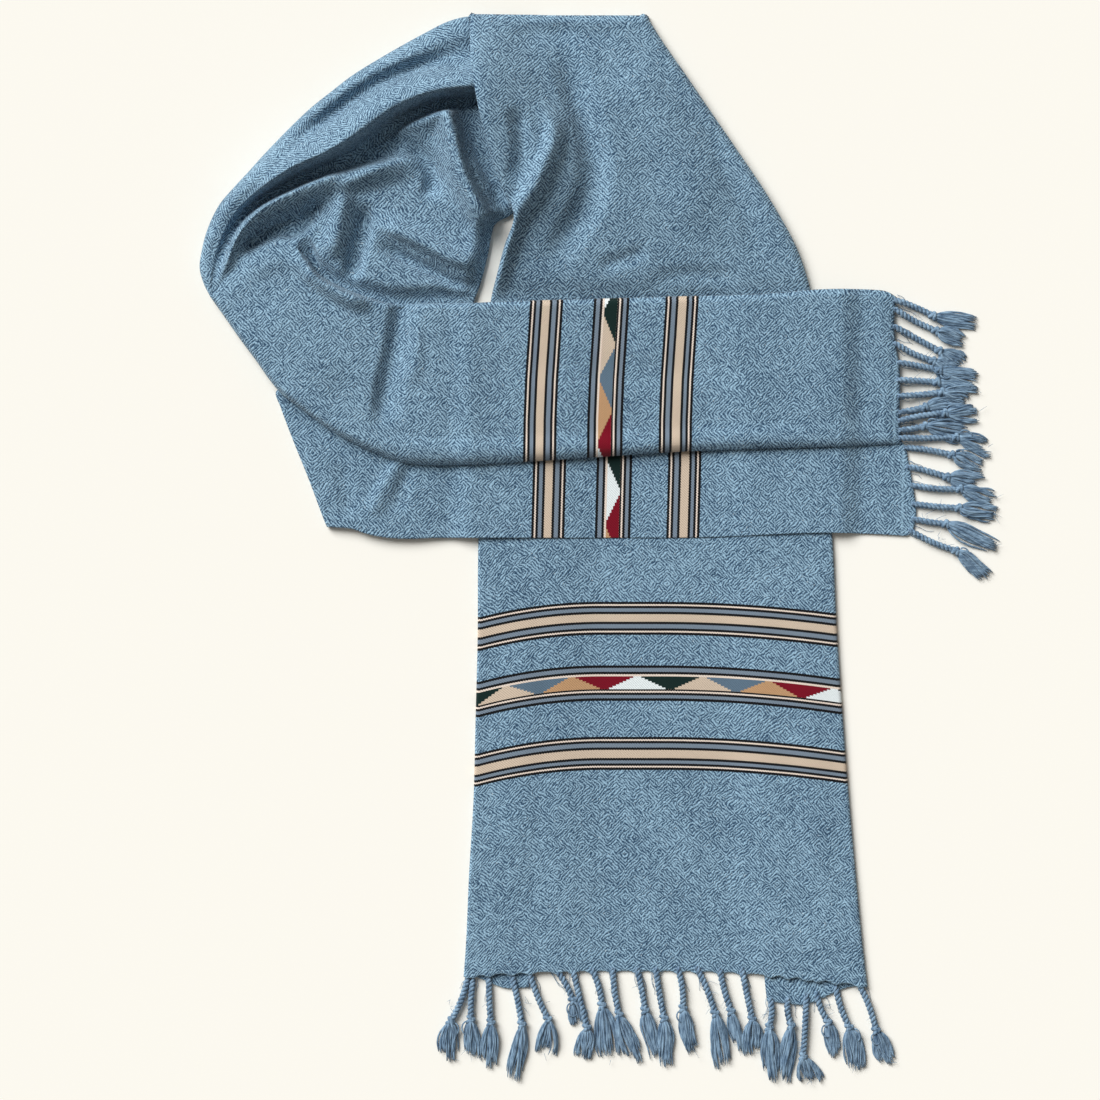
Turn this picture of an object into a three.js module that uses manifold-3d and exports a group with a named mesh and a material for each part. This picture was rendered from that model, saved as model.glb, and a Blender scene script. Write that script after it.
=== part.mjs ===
// Wool muffler with banded ends and knotted fringes, laid down flat in a loop.
// One long hand-woven cloth runs up from a fringed tail and folds over at the top of the neck loop.
// It comes back as a thick roll and a crumpled drape on the left, and crosses over its own tail to the
// second fringed end. The whole cut is 360 mm wide and about 1450 mm long, without its fringes.
// Millimetres, +Z up, and +Y runs along the tail to the loop. The origin is on the floor, under the
// middle of the outline.
import * as THREE from "three";
import Module from "manifold-3d";
import { mergeVertices } from "three/addons/utils/BufferGeometryUtils.js";

const wasm = await Module();
wasm.setup();

// Driving sizes
const CLOTH = 1.8; // wall of the fulled wool twill
const AIR = 0.5; // between cloths that lie on each other
const SEAM = 0.35; // between the ends of two stretches
const LEFT_TUCK = 41; // width of tail cloth folded under on the left
const RIGHT_TUCK = 63.4;
const CORD_RADIUS = 1.6; // twisted fringe
const KNOT_RADIUS = 2.5;
const LOCK_RADIUS = 1.4;
const LOCK_TIP_RADIUS = 0.7;
const LOCK_SPREAD = 3; // between the tips of neighbouring locks of a tuft
const LOCKS_PER_TUFT = 3;
const EDGE_WALL = 1.3; // thickness left at the edge of a heaped stretch
const WELD = 0.05; // smallest feature kept where strands are fused

const BLUE = new THREE.MeshStandardMaterial({ color: 0x6f8ba1, roughness: 0.95, metalness: 0 });
const YARN = new THREE.MeshStandardMaterial({ color: 0x58799b, roughness: 0.95, metalness: 0 });

// Small maths
const clamp = (x, low, high) => Math.min(Math.max(x, low), high);
const mix = (a, b, t) => a + (b - a) * t;
const ease = (from, to, x) => {
  const t = clamp((x - from) / (to - from), 0, 1);
  return t * t * (3 - 2 * t);
};
const span = (count) => Array.from({ length: count + 1 }, (_, i) => i / count);
const apart = (a, b) => Math.hypot(a[0] - b[0], a[1] - b[1]);

// A smooth line through plan points, as a function from 0 to 1 by its length.
function lineThrough(points) {
  const curve = new THREE.CatmullRomCurve3(
    points.map(([x, y]) => new THREE.Vector3(x, y, 0)),
    false,
    "centripetal",
  );
  curve.arcLengthDivisions = 12 * points.length;
  return (t) => {
    const p = curve.getPointAt(clamp(t, 0, 1));
    return [p.x, p.y];
  };
}

// The same line moved sideways, to the left of its walk where the distance is positive.
const beside = (line, distance) => (t) => {
  const [ax, ay] = line(Math.max(t - 0.01, 0));
  const [bx, by] = line(Math.min(t + 0.01, 1));
  const long = Math.hypot(bx - ax, by - ay);
  const [x, y] = line(t);
  return [x - ((by - ay) / long) * distance, y + ((bx - ax) / long) * distance];
};

// A value read off a table of rows, smoothly between them, by one named column.
function column(rows, by, name) {
  const sorted = [...rows].sort((a, b) => a[by] - b[by]);
  return (at) => {
    const x = clamp(at, sorted[0][by], sorted.at(-1)[by]);
    const k = clamp(
      sorted.findIndex((row) => row[by] >= x),
      1,
      sorted.length - 1,
    );
    const rowAt = (i) => sorted[clamp(i, 0, sorted.length - 1)];
    const [before, a, b, after] = [k - 2, k - 1, k, k + 1].map(rowAt);
    const slopeA = (b[name] - before[name]) / Math.max(b[by] - before[by], 1e-6);
    const slopeB = (after[name] - a[name]) / Math.max(after[by] - a[by], 1e-6);
    const width = b[by] - a[by];
    const t = (x - a[by]) / width;
    const t2 = t * t;
    const t3 = t2 * t;
    return (
      (2 * t3 - 3 * t2 + 1) * a[name] +
      (t3 - 2 * t2 + t) * width * slopeA +
      (3 * t2 - 2 * t3) * b[name] +
      (t3 - t2) * width * slopeB
    );
  };
}

// Soft ridges (rise > 0) and troughs (rise < 0) along plan lines. left and right are the reach of the
// slope on each side of the line as it is walked. start and end say how much rise is left at the ends.
const PATH_STEPS = 14;
function foldField(folds) {
  const steps = span(PATH_STEPS);
  const prepared = folds.map((fold) => ({ ...fold, path: steps.map(lineThrough(fold.along)) }));
  return (x, y) => {
    let height = 0;
    for (const { path, rise, left, right, start = 0, end = 0 } of prepared) {
      let best = { distance: Infinity };
      for (let i = 0; i < PATH_STEPS; i += 1) {
        const [ax, ay] = path[i];
        const [dx, dy] = [path[i + 1][0] - ax, path[i + 1][1] - ay];
        const t = clamp(((x - ax) * dx + (y - ay) * dy) / (dx * dx + dy * dy), 0, 1);
        const distance = Math.hypot(x - ax - t * dx, y - ay - t * dy);
        if (distance < best.distance)
          best = { distance, at: (i + t) / PATH_STEPS, side: dx * (y - ay) - dy * (x - ax) };
      }
      const reach = best.side > 0 ? left : right;
      if (best.distance >= reach) continue;
      const taper = Math.min(mix(start, 1, ease(0, 0.22, best.at)), mix(end, 1, ease(1, 0.78, best.at)));
      height += rise * taper * 0.5 * (1 + Math.cos((Math.PI * best.distance) / reach));
    }
    return height;
  };
}

// The plan position inside four boundary lines, from u along the low and high lines and v up the sides.
function patch({ low, high, start, end }) {
  const corners = [low(0), low(1), high(0), high(1)];
  return (u, v) =>
    [0, 1].map(
      (k) =>
        mix(low(u)[k], high(u)[k], v) +
        mix(start(v)[k], end(v)[k], u) -
        mix(mix(corners[0][k], corners[1][k], u), mix(corners[2][k], corners[3][k], u), v),
    );
}

// Fractions from 0 to 1 with extra lines close to each end, where an edge rounds over.
function lines(count, startEdge = 0, endEdge = 0) {
  const near = (edge) => (edge ? [0, 0.12 * edge, 0.42 * edge, edge] : [0]);
  const low = near(startEdge);
  const high = near(endEdge).map((x) => 1 - x);
  const middle = span(count)
    .slice(1, -1)
    .map((t) => mix(startEdge, 1 - endEdge, t));
  return [...low, ...middle, ...high.reverse()];
}

// How far a bull-nosed edge has risen at a distance from the outline.
const nose = (distance, radius) =>
  radius ? Math.sqrt(1 - (1 - clamp(distance / radius, 0, 1)) ** 2) : 1;

// A closed solid between two grids of points with the same rows and columns.
function slab(us, vs, top, bottom) {
  const [columns, rows] = [us.length, vs.length];
  const positions = [];
  for (const face of [top, bottom]) for (const v of vs) for (const u of us) positions.push(...face(u, v));
  const under = columns * rows;
  const at = (i, j) => j * columns + i;
  const faces = [];
  const quad = (a, b, c, d) => faces.push(a, b, c, a, c, d);
  for (let j = 0; j < rows - 1; j += 1)
    for (let i = 0; i < columns - 1; i += 1) {
      quad(at(i, j), at(i + 1, j), at(i + 1, j + 1), at(i, j + 1));
      quad(under + at(i, j), under + at(i, j + 1), under + at(i + 1, j + 1), under + at(i + 1, j));
    }
  for (let i = 0; i < columns - 1; i += 1) {
    quad(at(i + 1, 0), at(i, 0), under + at(i, 0), under + at(i + 1, 0));
    quad(at(i, rows - 1), at(i + 1, rows - 1), under + at(i + 1, rows - 1), under + at(i, rows - 1));
  }
  const last = columns - 1;
  for (let j = 0; j < rows - 1; j += 1) {
    quad(at(0, j), at(0, j + 1), under + at(0, j + 1), under + at(0, j));
    quad(at(last, j + 1), at(last, j), under + at(last, j), under + at(last, j + 1));
  }
  const geometry = new THREE.BufferGeometry();
  geometry.setAttribute("position", new THREE.Float32BufferAttribute(positions, 3));
  geometry.setIndex(faces);
  return geometry;
}

function piece(name, geometry, material = BLUE) {
  geometry.computeVertexNormals();
  const mesh = new THREE.Mesh(geometry, material);
  mesh.name = name;
  return mesh;
}

// Lower tail: a flat panel with both sides folded under, so that it narrows towards the crossing.
const TAIL_ROWS = [
  { y: -270.6, left: -86.8, right: 169.8, leftSag: 3, rightSag: 9.5 },
  { y: -250.1, left: -85.5, right: 167.3, leftSag: 6, rightSag: 9 },
  { y: -198.9, left: -83.3, right: 162.2, leftSag: 9, rightSag: 8.5 },
  { y: -147.7, left: -80.4, right: 157.7, leftSag: 10.5, rightSag: 8.5 },
  { y: -96.5, left: -79.1, right: 153.8, leftSag: 10.5, rightSag: 8.5 },
  { y: -45.3, left: -77.8, right: 150.3, leftSag: 10, rightSag: 7.5 },
  { y: 5.9, left: -77.5, right: 147.8, leftSag: 8, rightSag: 6 },
  { y: 82.7, left: -74.6, right: 142.3, leftSag: 0, rightSag: 0 },
];
const tailLeft = column(TAIL_ROWS, "y", "left");
const tailRight = column(TAIL_ROWS, "y", "right");
const tailLeftSag = column(TAIL_ROWS, "y", "leftSag");
const tailRightSag = column(TAIL_ROWS, "y", "rightSag");
const HEM_Y = TAIL_ROWS[0].y;
const TAIL_END_Y = TAIL_ROWS.at(-1).y;

// The folded cross-section, one entry for each station of the cloth from its left selvedge to its right.
// layer is under, turn or top, and across is a share of the tuck, of the turn or of the panel.
const TURN_RADIUS = (CLOTH + AIR) / 2;
const RESTING = CLOTH / 2;
const RAISED = RESTING + 2 * TURN_RADIUS;
const TAIL_STATIONS = [
  ...[1, 0.8, 0.55, 0.3, 0.1].map((across) => ({ layer: "under", side: "left", across })),
  ...[0.2, 0.5, 0.8].map((across) => ({ layer: "turn", side: "left", across })),
  ...lines(13, 0.012, 0.012).map((across) => ({ layer: "top", across })),
  ...[0.2, 0.5, 0.8].map((across) => ({ layer: "turn", side: "right", across })),
  ...[0.1, 0.3, 0.55, 0.8, 1].map((across) => ({ layer: "under", side: "right", across })),
];
// The panel's height over the floor: raised on its tucks, and resting between them.
const panelHeight = (across) =>
  mix(RAISED, RESTING, ease(0.2, 0.36, across) * (1 - ease(0.66, 0.8, across)));

function tailPoint(station, y) {
  const [left, right] = [tailLeft(y), tailRight(y)];
  const towards = station.side === "right" ? -1 : 1;
  const edge = station.side === "right" ? right : left;
  const sagAt = (across) =>
    tailLeftSag(y) * clamp(1 - across / 0.34, 0, 1) ** 2 +
    tailRightSag(y) * clamp((across - 0.5) / 0.5, 0, 1) ** 2;
  if (station.layer === "top") {
    const x = mix(left + TURN_RADIUS, right - TURN_RADIUS, station.across);
    return [x, y - sagAt(station.across), panelHeight(station.across)];
  }
  const edgeSag = sagAt(station.side === "right" ? 1 : 0);
  if (station.layer === "turn") {
    const angle = Math.PI * (station.side === "right" ? 1 - station.across : station.across);
    const out = Math.sin(angle) * TURN_RADIUS;
    const high = RESTING + TURN_RADIUS - Math.cos(angle) * TURN_RADIUS;
    return [edge + towards * (TURN_RADIUS - out), y - edgeSag, high];
  }
  // The tucks' own hems show under the panel's hem, where the cloth was folded a little askew.
  const tuck = station.side === "right" ? RIGHT_TUCK : LEFT_TUCK;
  const peek = station.side === "right" ? 16.6 : 9;
  const askew = -peek * ease(0.05, 0.7, station.across) * ease(HEM_Y + 60, HEM_Y, y);
  const x = edge + towards * (TURN_RADIUS + (tuck - TURN_RADIUS) * station.across);
  return [x, y - edgeSag * (1 - 0.8 * station.across) + askew, RESTING];
}

function tailWall(side) {
  return (u, v) => {
    const k = Math.round(u * (TAIL_STATIONS.length - 1));
    const y = mix(HEM_Y, TAIL_END_Y, v);
    const here = tailPoint(TAIL_STATIONS[k], y);
    const before = tailPoint(TAIL_STATIONS[Math.max(k - 1, 0)], y);
    const after = tailPoint(TAIL_STATIONS[Math.min(k + 1, TAIL_STATIONS.length - 1)], y);
    const [dx, dz] = [after[0] - before[0], after[2] - before[2]];
    const long = Math.hypot(dx, dz);
    const off = (side * CLOTH) / 2;
    return [here[0] - (dz / long) * off, here[1], Math.max(here[2] + (dx / long) * off, 0)];
  };
}

function lowerTail() {
  return piece(
    "lower_tail",
    slab(span(TAIL_STATIONS.length - 1), [0, 0.03, ...span(9).slice(1)], tailWall(1), tailWall(-1)),
  );
}

// Neck panel: the same stretch of cloth past the crossing, puffed up, with a long crease on its left.
const NECK_ROWS = [
  { y: 83.4, left: -74.6, right: 142.3, leftHigh: 5, middleHigh: 5, rightHigh: 5 },
  { y: 140.3, left: -71.4, right: 137.2, leftHigh: 5, middleHigh: 5, rightHigh: 5 },
  { y: 159.5, left: -70.2, right: 135.3, leftHigh: 6, middleHigh: 6, rightHigh: 5.5 },
  { y: 175.5, left: -66.3, right: 131.4, leftHigh: 9, middleHigh: 9, rightHigh: 7.5 },
  { y: 194.7, left: -61.2, right: 124.4, leftHigh: 12, middleHigh: 12, rightHigh: 9 },
  { y: 212, left: -55.4, right: 115.1, leftHigh: 16, middleHigh: 14, rightHigh: 10 },
  { y: 228, left: -62, right: 105.5, leftHigh: 23, middleHigh: 15, rightHigh: 10 },
  { y: 254.2, left: -70.8, right: 87.9, leftHigh: 31, middleHigh: 17, rightHigh: 10 },
  { y: 283, left: -78.5, right: 68.1, leftHigh: 35, middleHigh: 17, rightHigh: 10 },
  { y: 302.9, left: -81.7, right: 54.6, leftHigh: 32, middleHigh: 15, rightHigh: 9.5 },
  { y: 322.1, left: -83.3, right: 41.2, leftHigh: 24, middleHigh: 12, rightHigh: 9 },
  { y: 341.3, left: -83, right: 29, leftHigh: 13, middleHigh: 9, rightHigh: 8 },
];
const neckLeft = column(NECK_ROWS, "y", "left");
const neckRight = column(NECK_ROWS, "y", "right");
const neckLeftHigh = column(NECK_ROWS, "y", "leftHigh");
const neckMiddleHigh = column(NECK_ROWS, "y", "middleHigh");
const neckRightHigh = column(NECK_ROWS, "y", "rightHigh");
const NECK_BOTTOM = NECK_ROWS[0].y;
const NECK_TOP = NECK_ROWS.at(-1).y;
const NECK_FOLDS = [
  // long crease that leaves the edge and climbs into the panel
  {
    along: [
      [-70.2, 157], [-65.7, 176.2], [-60.6, 194.1], [-53.5, 213.3], [-42.6, 229.9], [-35, 246.6],
      [-30.5, 258.1], [-31.1, 269.6], [-36.9, 277.9], [-46.5, 283.7],
    ],
    rise: 7, left: 8, right: 11, start: 0.2, end: 0.1,
  },
  // hollow beside it
  {
    along: [
      [-26, 325.9], [-18.3, 297.1], [-10.6, 271.5], [-5.5, 245.9], [-9.4, 222.2], [-22.2, 199.2],
      [-35.6, 175.5],
    ],
    rise: -5, left: 16, right: 13, start: 0.2,
  },
  // dip between the crease and the panel's edge
  {
    along: [
      [-56.7, 282.4], [-51.6, 265.1], [-51.6, 245.9], [-56.7, 229.9],
    ],
    rise: -4.5, left: 9, right: 9,
  },
  // broad swell on the right
  { along: [[6, 313.1], [38, 274.7], [57.2, 236.3], [66.8, 197.9]], rise: 3.5, left: 26, right: 26 },
  // faint dips above the crossing
  { along: [[-3, 180], [15.6, 185.1], [31.6, 191.5]], rise: -2, left: 8, right: 8 },
  { along: [[25.2, 169.1], [57.2, 174.9], [92.4, 172.3]], rise: -1.6, left: 9, right: 9 },
];
const neckFolds = foldField(NECK_FOLDS);
const NECK_WALL = 2 * CLOTH + AIR;
const NECK_NOSE = 5; // roundness of the panel's right and top edges
const NECK_LEFT_NOSE = 3.2;
const BELLY = 0.45; // share of a puffy stretch's height where its edge stands out furthest
const UNDER_DROP = 0.6; // so that the two faces of an edge stay apart
const UNDER_ROUND = 1.6; // how much sooner an edge rounds over underneath

// Height of the panel's upper face at a share across it.
function neckHeight(across, x, y) {
  const base =
    across < 0.42
      ? mix(neckLeftHigh(y), neckMiddleHigh(y), ease(0, 0.42, across))
      : mix(neckMiddleHigh(y), neckRightHigh(y), ease(0.42, 0.95, across));
  const free = Math.max(base + neckFolds(x, y), 2 * CLOTH);
  return mix(panelHeight(across) + CLOTH / 2, free, ease(151.8, 173.6, y));
}

// Place across the tail or the neck panel, for what lies on them.
function tailAcross(x, y) {
  const [left, right] = y < NECK_BOTTOM ? [tailLeft(y), tailRight(y)] : [neckLeft(y), neckRight(y)];
  return clamp((x - left) / (right - left), 0, 1);
}

// Where the roll and the drape lie under the panel's left side, its own underside stands clear of them.
const OVER_HEAP_WIDTH = 39.7;
const overHeap = (across, y) =>
  (1 - ease(OVER_HEAP_WIDTH, OVER_HEAP_WIDTH + 12, across * (neckRight(y) - neckLeft(y)))) *
  ease(199.2, 206.9, y);

function neckFace(side) {
  return (u, v) => {
    const y = mix(NECK_BOTTOM, NECK_TOP, v);
    const width = neckRight(y) - neckLeft(y);
    const x = neckLeft(y) + u * width;
    const high = neckHeight(u, x, y);
    const low = overHeap(u, y) * Math.max(high - NECK_WALL, 0);
    const sides = nose(u * width, NECK_LEFT_NOSE) * nose((1 - u) * width, NECK_NOSE);
    const round = sides * nose(NECK_TOP - y, NECK_NOSE);
    const middle = mix(low, high, BELLY);
    if (side > 0) return [x, y, mix(middle, high, round)];
    return [x, y, mix(middle - UNDER_DROP, low, low > AIR ? round : clamp(round * UNDER_ROUND, 0, 1))];
  };
}

function neckPanel() {
  return piece("neck_panel", slab(lines(15, 0.03, 0.03), lines(14, 0, 0.025), neckFace(1), neckFace(-1)));
}

// The height that neighbours under the panel must keep below.
const HEAP_CLEARANCE = 1.4;
const HEAP_FROM = 197.9;
function neckUnderside(x, y) {
  if (y < HEAP_FROM || y > NECK_TOP) return Infinity;
  const across = (x - neckLeft(y)) / (neckRight(y) - neckLeft(y));
  if (across < -0.01) return Infinity;
  return neckHeight(clamp(across, 0, 1), x, y) - NECK_WALL - HEAP_CLEARANCE;
}

// Neck roll: the cloth comes out from under the panel as a thick band with two crests.
// It turns down the left.
const OUTER_EDGE = [
  [-61.2, 338.7], [-82.3, 340.6], [-97, 337.4], [-112.4, 329.8], [-126.5, 322.1], [-139.9, 314.4],
  [-158.5, 302.9], [-171.9, 292.6], [-184.7, 282.4], [-195.6, 272.2], [-205.8, 261.9],
  [-215.4, 251.7], [-224.4, 241.4], [-234, 231.2], [-243, 221], [-248.7, 210.7], [-252.6, 200.5],
  [-255.1, 190.2], [-256.4, 180], [-253.8, 169.8], [-249.4, 161.4],
];
const VALLEY = [
  [-44.6, 279.2], [-62.5, 281.8], [-79.8, 282.4], [-102.8, 276.6], [-125.2, 268.3], [-144.4, 255.5],
  [-166.8, 244.6], [-192.4, 234.4], [-216.7, 222.2], [-230.2, 210.1], [-238.5, 196], [-243.6, 182.6],
  [-247.4, 169.1], [-248.1, 162.7],
];
const ROLL_FOLDS = [
  // crest beside the dark valley
  {
    along: [
      [-61.2, 302.9], [-83, 300.3], [-109.2, 296.5], [-136.7, 290.1], [-163.6, 277.9], [-180.9, 267.7],
      [-198.8, 255.5], [-216.7, 239.5], [-229.5, 225.4], [-238.5, 209.4],
    ],
    rise: 15, left: 9, right: 13, start: 1, end: 0.15,
  },
  // low outer crest
  {
    along: [
      [-84.9, 329.8], [-109.2, 319.5], [-131.6, 306.7], [-163.6, 285.6], [-193.7, 260.6],
      [-216.7, 238.9], [-235.9, 214.6], [-246.2, 194.1],
    ],
    rise: 4, left: 10, right: 10, start: 0.4, end: 0.4,
  },
  // soft groove between the crests
  {
    along: [
      [-90, 313.1], [-115.6, 306.7], [-146.3, 293.9], [-174.5, 276], [-202, 253],
    ],
    rise: -3, left: 7, right: 7,
  },
];
const rollFolds = foldField(ROLL_FOLDS);
const rollOuter = lineThrough(OUTER_EDGE);
const valleyLine = lineThrough(VALLEY);
const rollInner = beside(valleyLine, -SEAM / 2);
const ROLL_BASE = 12;
const ROLL_END_HIGH = 6; // where the roll narrows to nothing at the left turn
const ROLL_FULL_WIDTH = 28;
const ROLL_OUTER_NOSE = 9;
const ROLL_INNER_NOSE = 7;
const VALLEY_HIGH = 2.4; // the roll's edge in the valley, between its two faces
const rollPlan = (u, v) => [0, 1].map((k) => mix(rollOuter(u)[k], rollInner(u)[k], v));

function rollFace(side) {
  return (u, v) => {
    const [x, y] = rollPlan(u, v);
    const width = apart(rollOuter(u), rollInner(u));
    const narrow = ease(0, ROLL_FULL_WIDTH, width);
    const high = mix(ROLL_END_HIGH, ROLL_BASE, narrow) + rollFolds(x, y) * mix(0.4, 1, narrow);
    const capped = Math.min(high, neckUnderside(x, y));
    const outerNose = nose(v * width, Math.min(ROLL_OUTER_NOSE, 0.5 * width));
    const innerNose = nose((1 - v) * width, Math.min(ROLL_INNER_NOSE, 0.4 * width));
    const round = outerNose * innerNose;
    if (side > 0) return [x, y, Math.max(mix(VALLEY_HIGH, capped, round), VALLEY_HIGH)];
    return [x, y, mix(VALLEY_HIGH - EDGE_WALL, 0, clamp(round * 2.2, 0, 1))];
  };
}

function loopRoll() {
  return piece("loop_roll", slab(span(26), lines(10, 0.12, 0.1), rollFace(1), rollFace(-1)));
}

// Loop drape: the inner half of the turning cloth, gathered in folds, its selvedge beside the floor gap.
// It meets the crossing end along a slanting seam at the left turn.
const TURN_SEAM = [[-246.8, 163], [-240.4, 170.4], [-227.6, 181.6], [-210.3, 190.2], [-195, 193.4]];
const DRAPE_TUCKED = [
  [-195, 193.4], [-189.8, 188.6], [-185.4, 181.9], [-180.9, 171], [-166.2, 161.4], [-146.3, 155],
  [-131, 151.8], [-109.2, 152.5], [-81, 152.5],
];
const DRAPE_SELVEDGE = [
  [-81, 152.5], [-81, 157.6], [-77.2, 168.5], [-74, 180], [-71.4, 191.5], [-69.8, 200.5], [-67, 208.2],
  [-58, 213.3], [-49, 221.6], [-43.9, 236.3],
];
const DRAPE_BASE = 12;
const DRAPE_FOLDS = [
  // crest along the dark valley
  {
    along: [
      [-246.2, 168.5], [-239.8, 189], [-230.8, 203], [-216.7, 215.2], [-198.8, 224.8], [-176.4, 232.5],
      [-154, 239.5], [-133.5, 244.6], [-116.9, 247.2], [-107.9, 242.7],
    ],
    rise: 9, left: 6, right: 16, start: 0.3,
  },
  // tall fold that stands against the neck panel
  {
    along: [
      [-116.9, 274.1], [-102.8, 274.7], [-96.4, 267], [-92.6, 254.2], [-87.4, 238.9], [-79.8, 223.5],
      [-72.7, 209.4], [-71.4, 194.1],
    ],
    rise: 14, left: 6, right: 17, start: 0.4, end: 0.25,
  },
  // its dark flank
  {
    along: [
      [-127.1, 260.6], [-114.3, 250.4], [-107.9, 237.6], [-110.5, 221],
    ],
    rise: -6, left: 10, right: 8,
  },
  // hollow before the turned corner
  {
    along: [
      [-238.5, 165.9], [-225.7, 180], [-207.8, 190.2], [-192.4, 197.9], [-180.9, 196],
    ],
    rise: -8, left: 13, right: 14, start: 0.4,
  },
  // short crest coming down from the long one
  {
    along: [
      [-160.4, 233.8], [-166.8, 218.4], [-172.6, 200.5], [-175.8, 181.3],
    ],
    rise: 6, left: 9, right: 10,
  },
  // hollow beside it
  {
    along: [
      [-150.2, 223.5], [-154, 203], [-159.1, 183.8], [-159.1, 165.9],
    ],
    rise: -6, left: 10, right: 9,
  },
  // slanting crest above the selvedge
  {
    along: [
      [-146.3, 208.2], [-129.7, 201.8], [-110.5, 192.8], [-92.6, 183.8], [-75.9, 180],
    ],
    rise: 6, left: 14, right: 6, end: 0.6,
  },
  // sharp valley under it
  {
    along: [
      [-145, 197.9], [-128.4, 187.7], [-109.2, 178.1], [-93.2, 170.4], [-77.2, 166.6],
    ],
    rise: -6.5, left: 6, right: 7, end: 0.7,
  },
  // low lit fold in the shade of the neck panel
  { along: [[-86.2, 249.1], [-75.9, 237.6], [-65.7, 224.8]], rise: 3, left: 6, right: 6 },
  // shaded floor of the drape beside the neck panel
  {
    along: [
      [-83.6, 269.6], [-75.9, 249.1], [-65.7, 226.1], [-59.3, 213.3],
    ],
    rise: -6, left: 12, right: 8, start: 0.6, end: 0.6,
  },
];
const drapeFolds = foldField(DRAPE_FOLDS);
const turnSeam = lineThrough(TURN_SEAM);
const drapeTop = beside(valleyLine, SEAM / 2);
// Two lines walked one after the other, the first up to the given share.
const joined = (first, second, share) => {
  const [a, b] = [lineThrough(first), lineThrough(second)];
  return (t) => (t <= share ? a(t / share) : b((t - share) / (1 - share)));
};
const drapePlan = patch({
  low: joined(TURN_SEAM, DRAPE_TUCKED, 0.36),
  high: (t) => drapeTop(1 - t),
  start: (t) => [0, 1].map((k) => mix(TURN_SEAM[0][k], drapeTop(1)[k], t)),
  end: lineThrough([...DRAPE_SELVEDGE, drapeTop(0)]),
});

// Both sides of the turn seam share one height, so that the cloth runs on over it.
const TURN_ROWS = [
  { share: 0, high: 8 },
  { share: 0.3, high: 6 },
  { share: 0.6, high: 5 },
  { share: 1, high: 8 },
];
const turnHigh = column(TURN_ROWS, "share", "high");
const TURN_STEPS = span(24);
function towardsTurn(x, y, free) {
  let best = { distance: Infinity };
  for (const share of TURN_STEPS) {
    const distance = apart([x, y], turnSeam(share));
    if (distance < best.distance) best = { distance, share };
  }
  return mix(turnHigh(best.share), free, ease(0, 15, best.distance));
}

const TUCK_HIGH = 4.6; // height of the drape's edge under the crossing end
const DRAPE_LOWEST = 4;
const DRAPE_VALLEY_NOSE = 4.5;
const DRAPE_SELVEDGE_NOSE = 3;
const DRAPE_EDGE_HIGH = 2;
function drapeFace(side) {
  return (u, v) => {
    const [x, y] = drapePlan(u, v);
    const end = apart([x, y], drapePlan(1, v));
    const valley = apart([x, y], drapePlan(u, 1));
    const tucked = apart([x, y], drapePlan(u, 0));
    const free = towardsTurn(x, y, Math.max(DRAPE_BASE + drapeFolds(x, y), DRAPE_LOWEST));
    const pressed = ease(17, 9, tucked) * ease(-198.8, -192.4, x) * ease(-69.5, -75.9, x);
    const high = Math.min(mix(free, TUCK_HIGH, pressed), neckUnderside(x, y));
    const round = nose(valley, DRAPE_VALLEY_NOSE) * nose(end, DRAPE_SELVEDGE_NOSE);
    if (side > 0) return [x, y, Math.max(mix(DRAPE_EDGE_HIGH, high, round), DRAPE_EDGE_HIGH)];
    return [x, y, mix(DRAPE_EDGE_HIGH - EDGE_WALL, 0, clamp(round * 2, 0, 1))];
  };
}

function loopDrape() {
  return piece("loop_drape", slab(lines(26, 0, 0.012), lines(15, 0, 0.03), drapeFace(1), drapeFace(-1)));
}

// The crossing end lies over the tail, which it touches between these two places across the picture.
const CROSS_CLIMB = [-99, -81];
const CROSS_DROP = [151.9, 168.6];
const bedHeight = (x, y) => {
  const onTail = ease(...CROSS_CLIMB, x) * ease(CROSS_DROP[1], CROSS_DROP[0], x);
  return onTail * (panelHeight(tailAcross(x, y)) + CLOTH / 2 + AIR);
};

// Crossing end, upper fold: the cloth is folded in three here, and its lower fold line is puffy.
const CROSS_TOP_EDGE = [
  [-247.4, 161.1], [-240.4, 169.4], [-227.6, 180.6], [-210.3, 189], [-194.3, 191.5], [-187.3, 185.8],
  [-179.6, 175.5], [-163.6, 166.6], [-146.3, 160.2], [-131, 156.6], [-109.2, 157.3],
  [-76.6, 157.3], [-43.9, 158.2], [-3.6, 159.5], [40.6, 160.8], [102, 162.4], [140.4, 165.3],
  [172.4, 165.3], [182.6, 164], [189, 160.2],
];
const CROSS_FOLD_EDGE = [
  [-249, 159.8], [-241, 149.3], [-230.2, 133.9], [-220.6, 121.1], [-211.6, 108.3], [-203.3, 98.7],
  [-189.8, 88.5], [-173.2, 76.3], [-154.6, 66.1], [-141.2, 60.3], [-129.7, 55.8], [-113.7, 53.9],
  [-84.2, 53.9], [-47.8, 55.8], [1.5, 59], [38, 61.6], [100.7, 64.2], [146.8, 65.4], [192.2, 67.4],
];
const CROSS_HEM = [
  [192.2, 67.4], [191, 86.6], [191.6, 101.9], [191, 117.9], [188.4, 133.3], [187.8, 148.6],
  [189, 160.2],
];
const CROSS_ROWS = [
  { x: -248.1, thick: 8 },
  { x: -224.4, thick: 13 },
  { x: -192.4, thick: 15 },
  { x: -160.4, thick: 14.5 },
  { x: -128.4, thick: 12.5 },
  { x: -96.4, thick: 11.5 },
  { x: -86.8, thick: 9.8 },
  { x: -74, thick: 8 },
  { x: -0.4, thick: 7 },
  { x: 63.6, thick: 6.6 },
  { x: 153.2, thick: 6.3 },
  { x: 192.2, thick: 5.6 },
];
const crossThick = column(CROSS_ROWS, "x", "thick");
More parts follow.
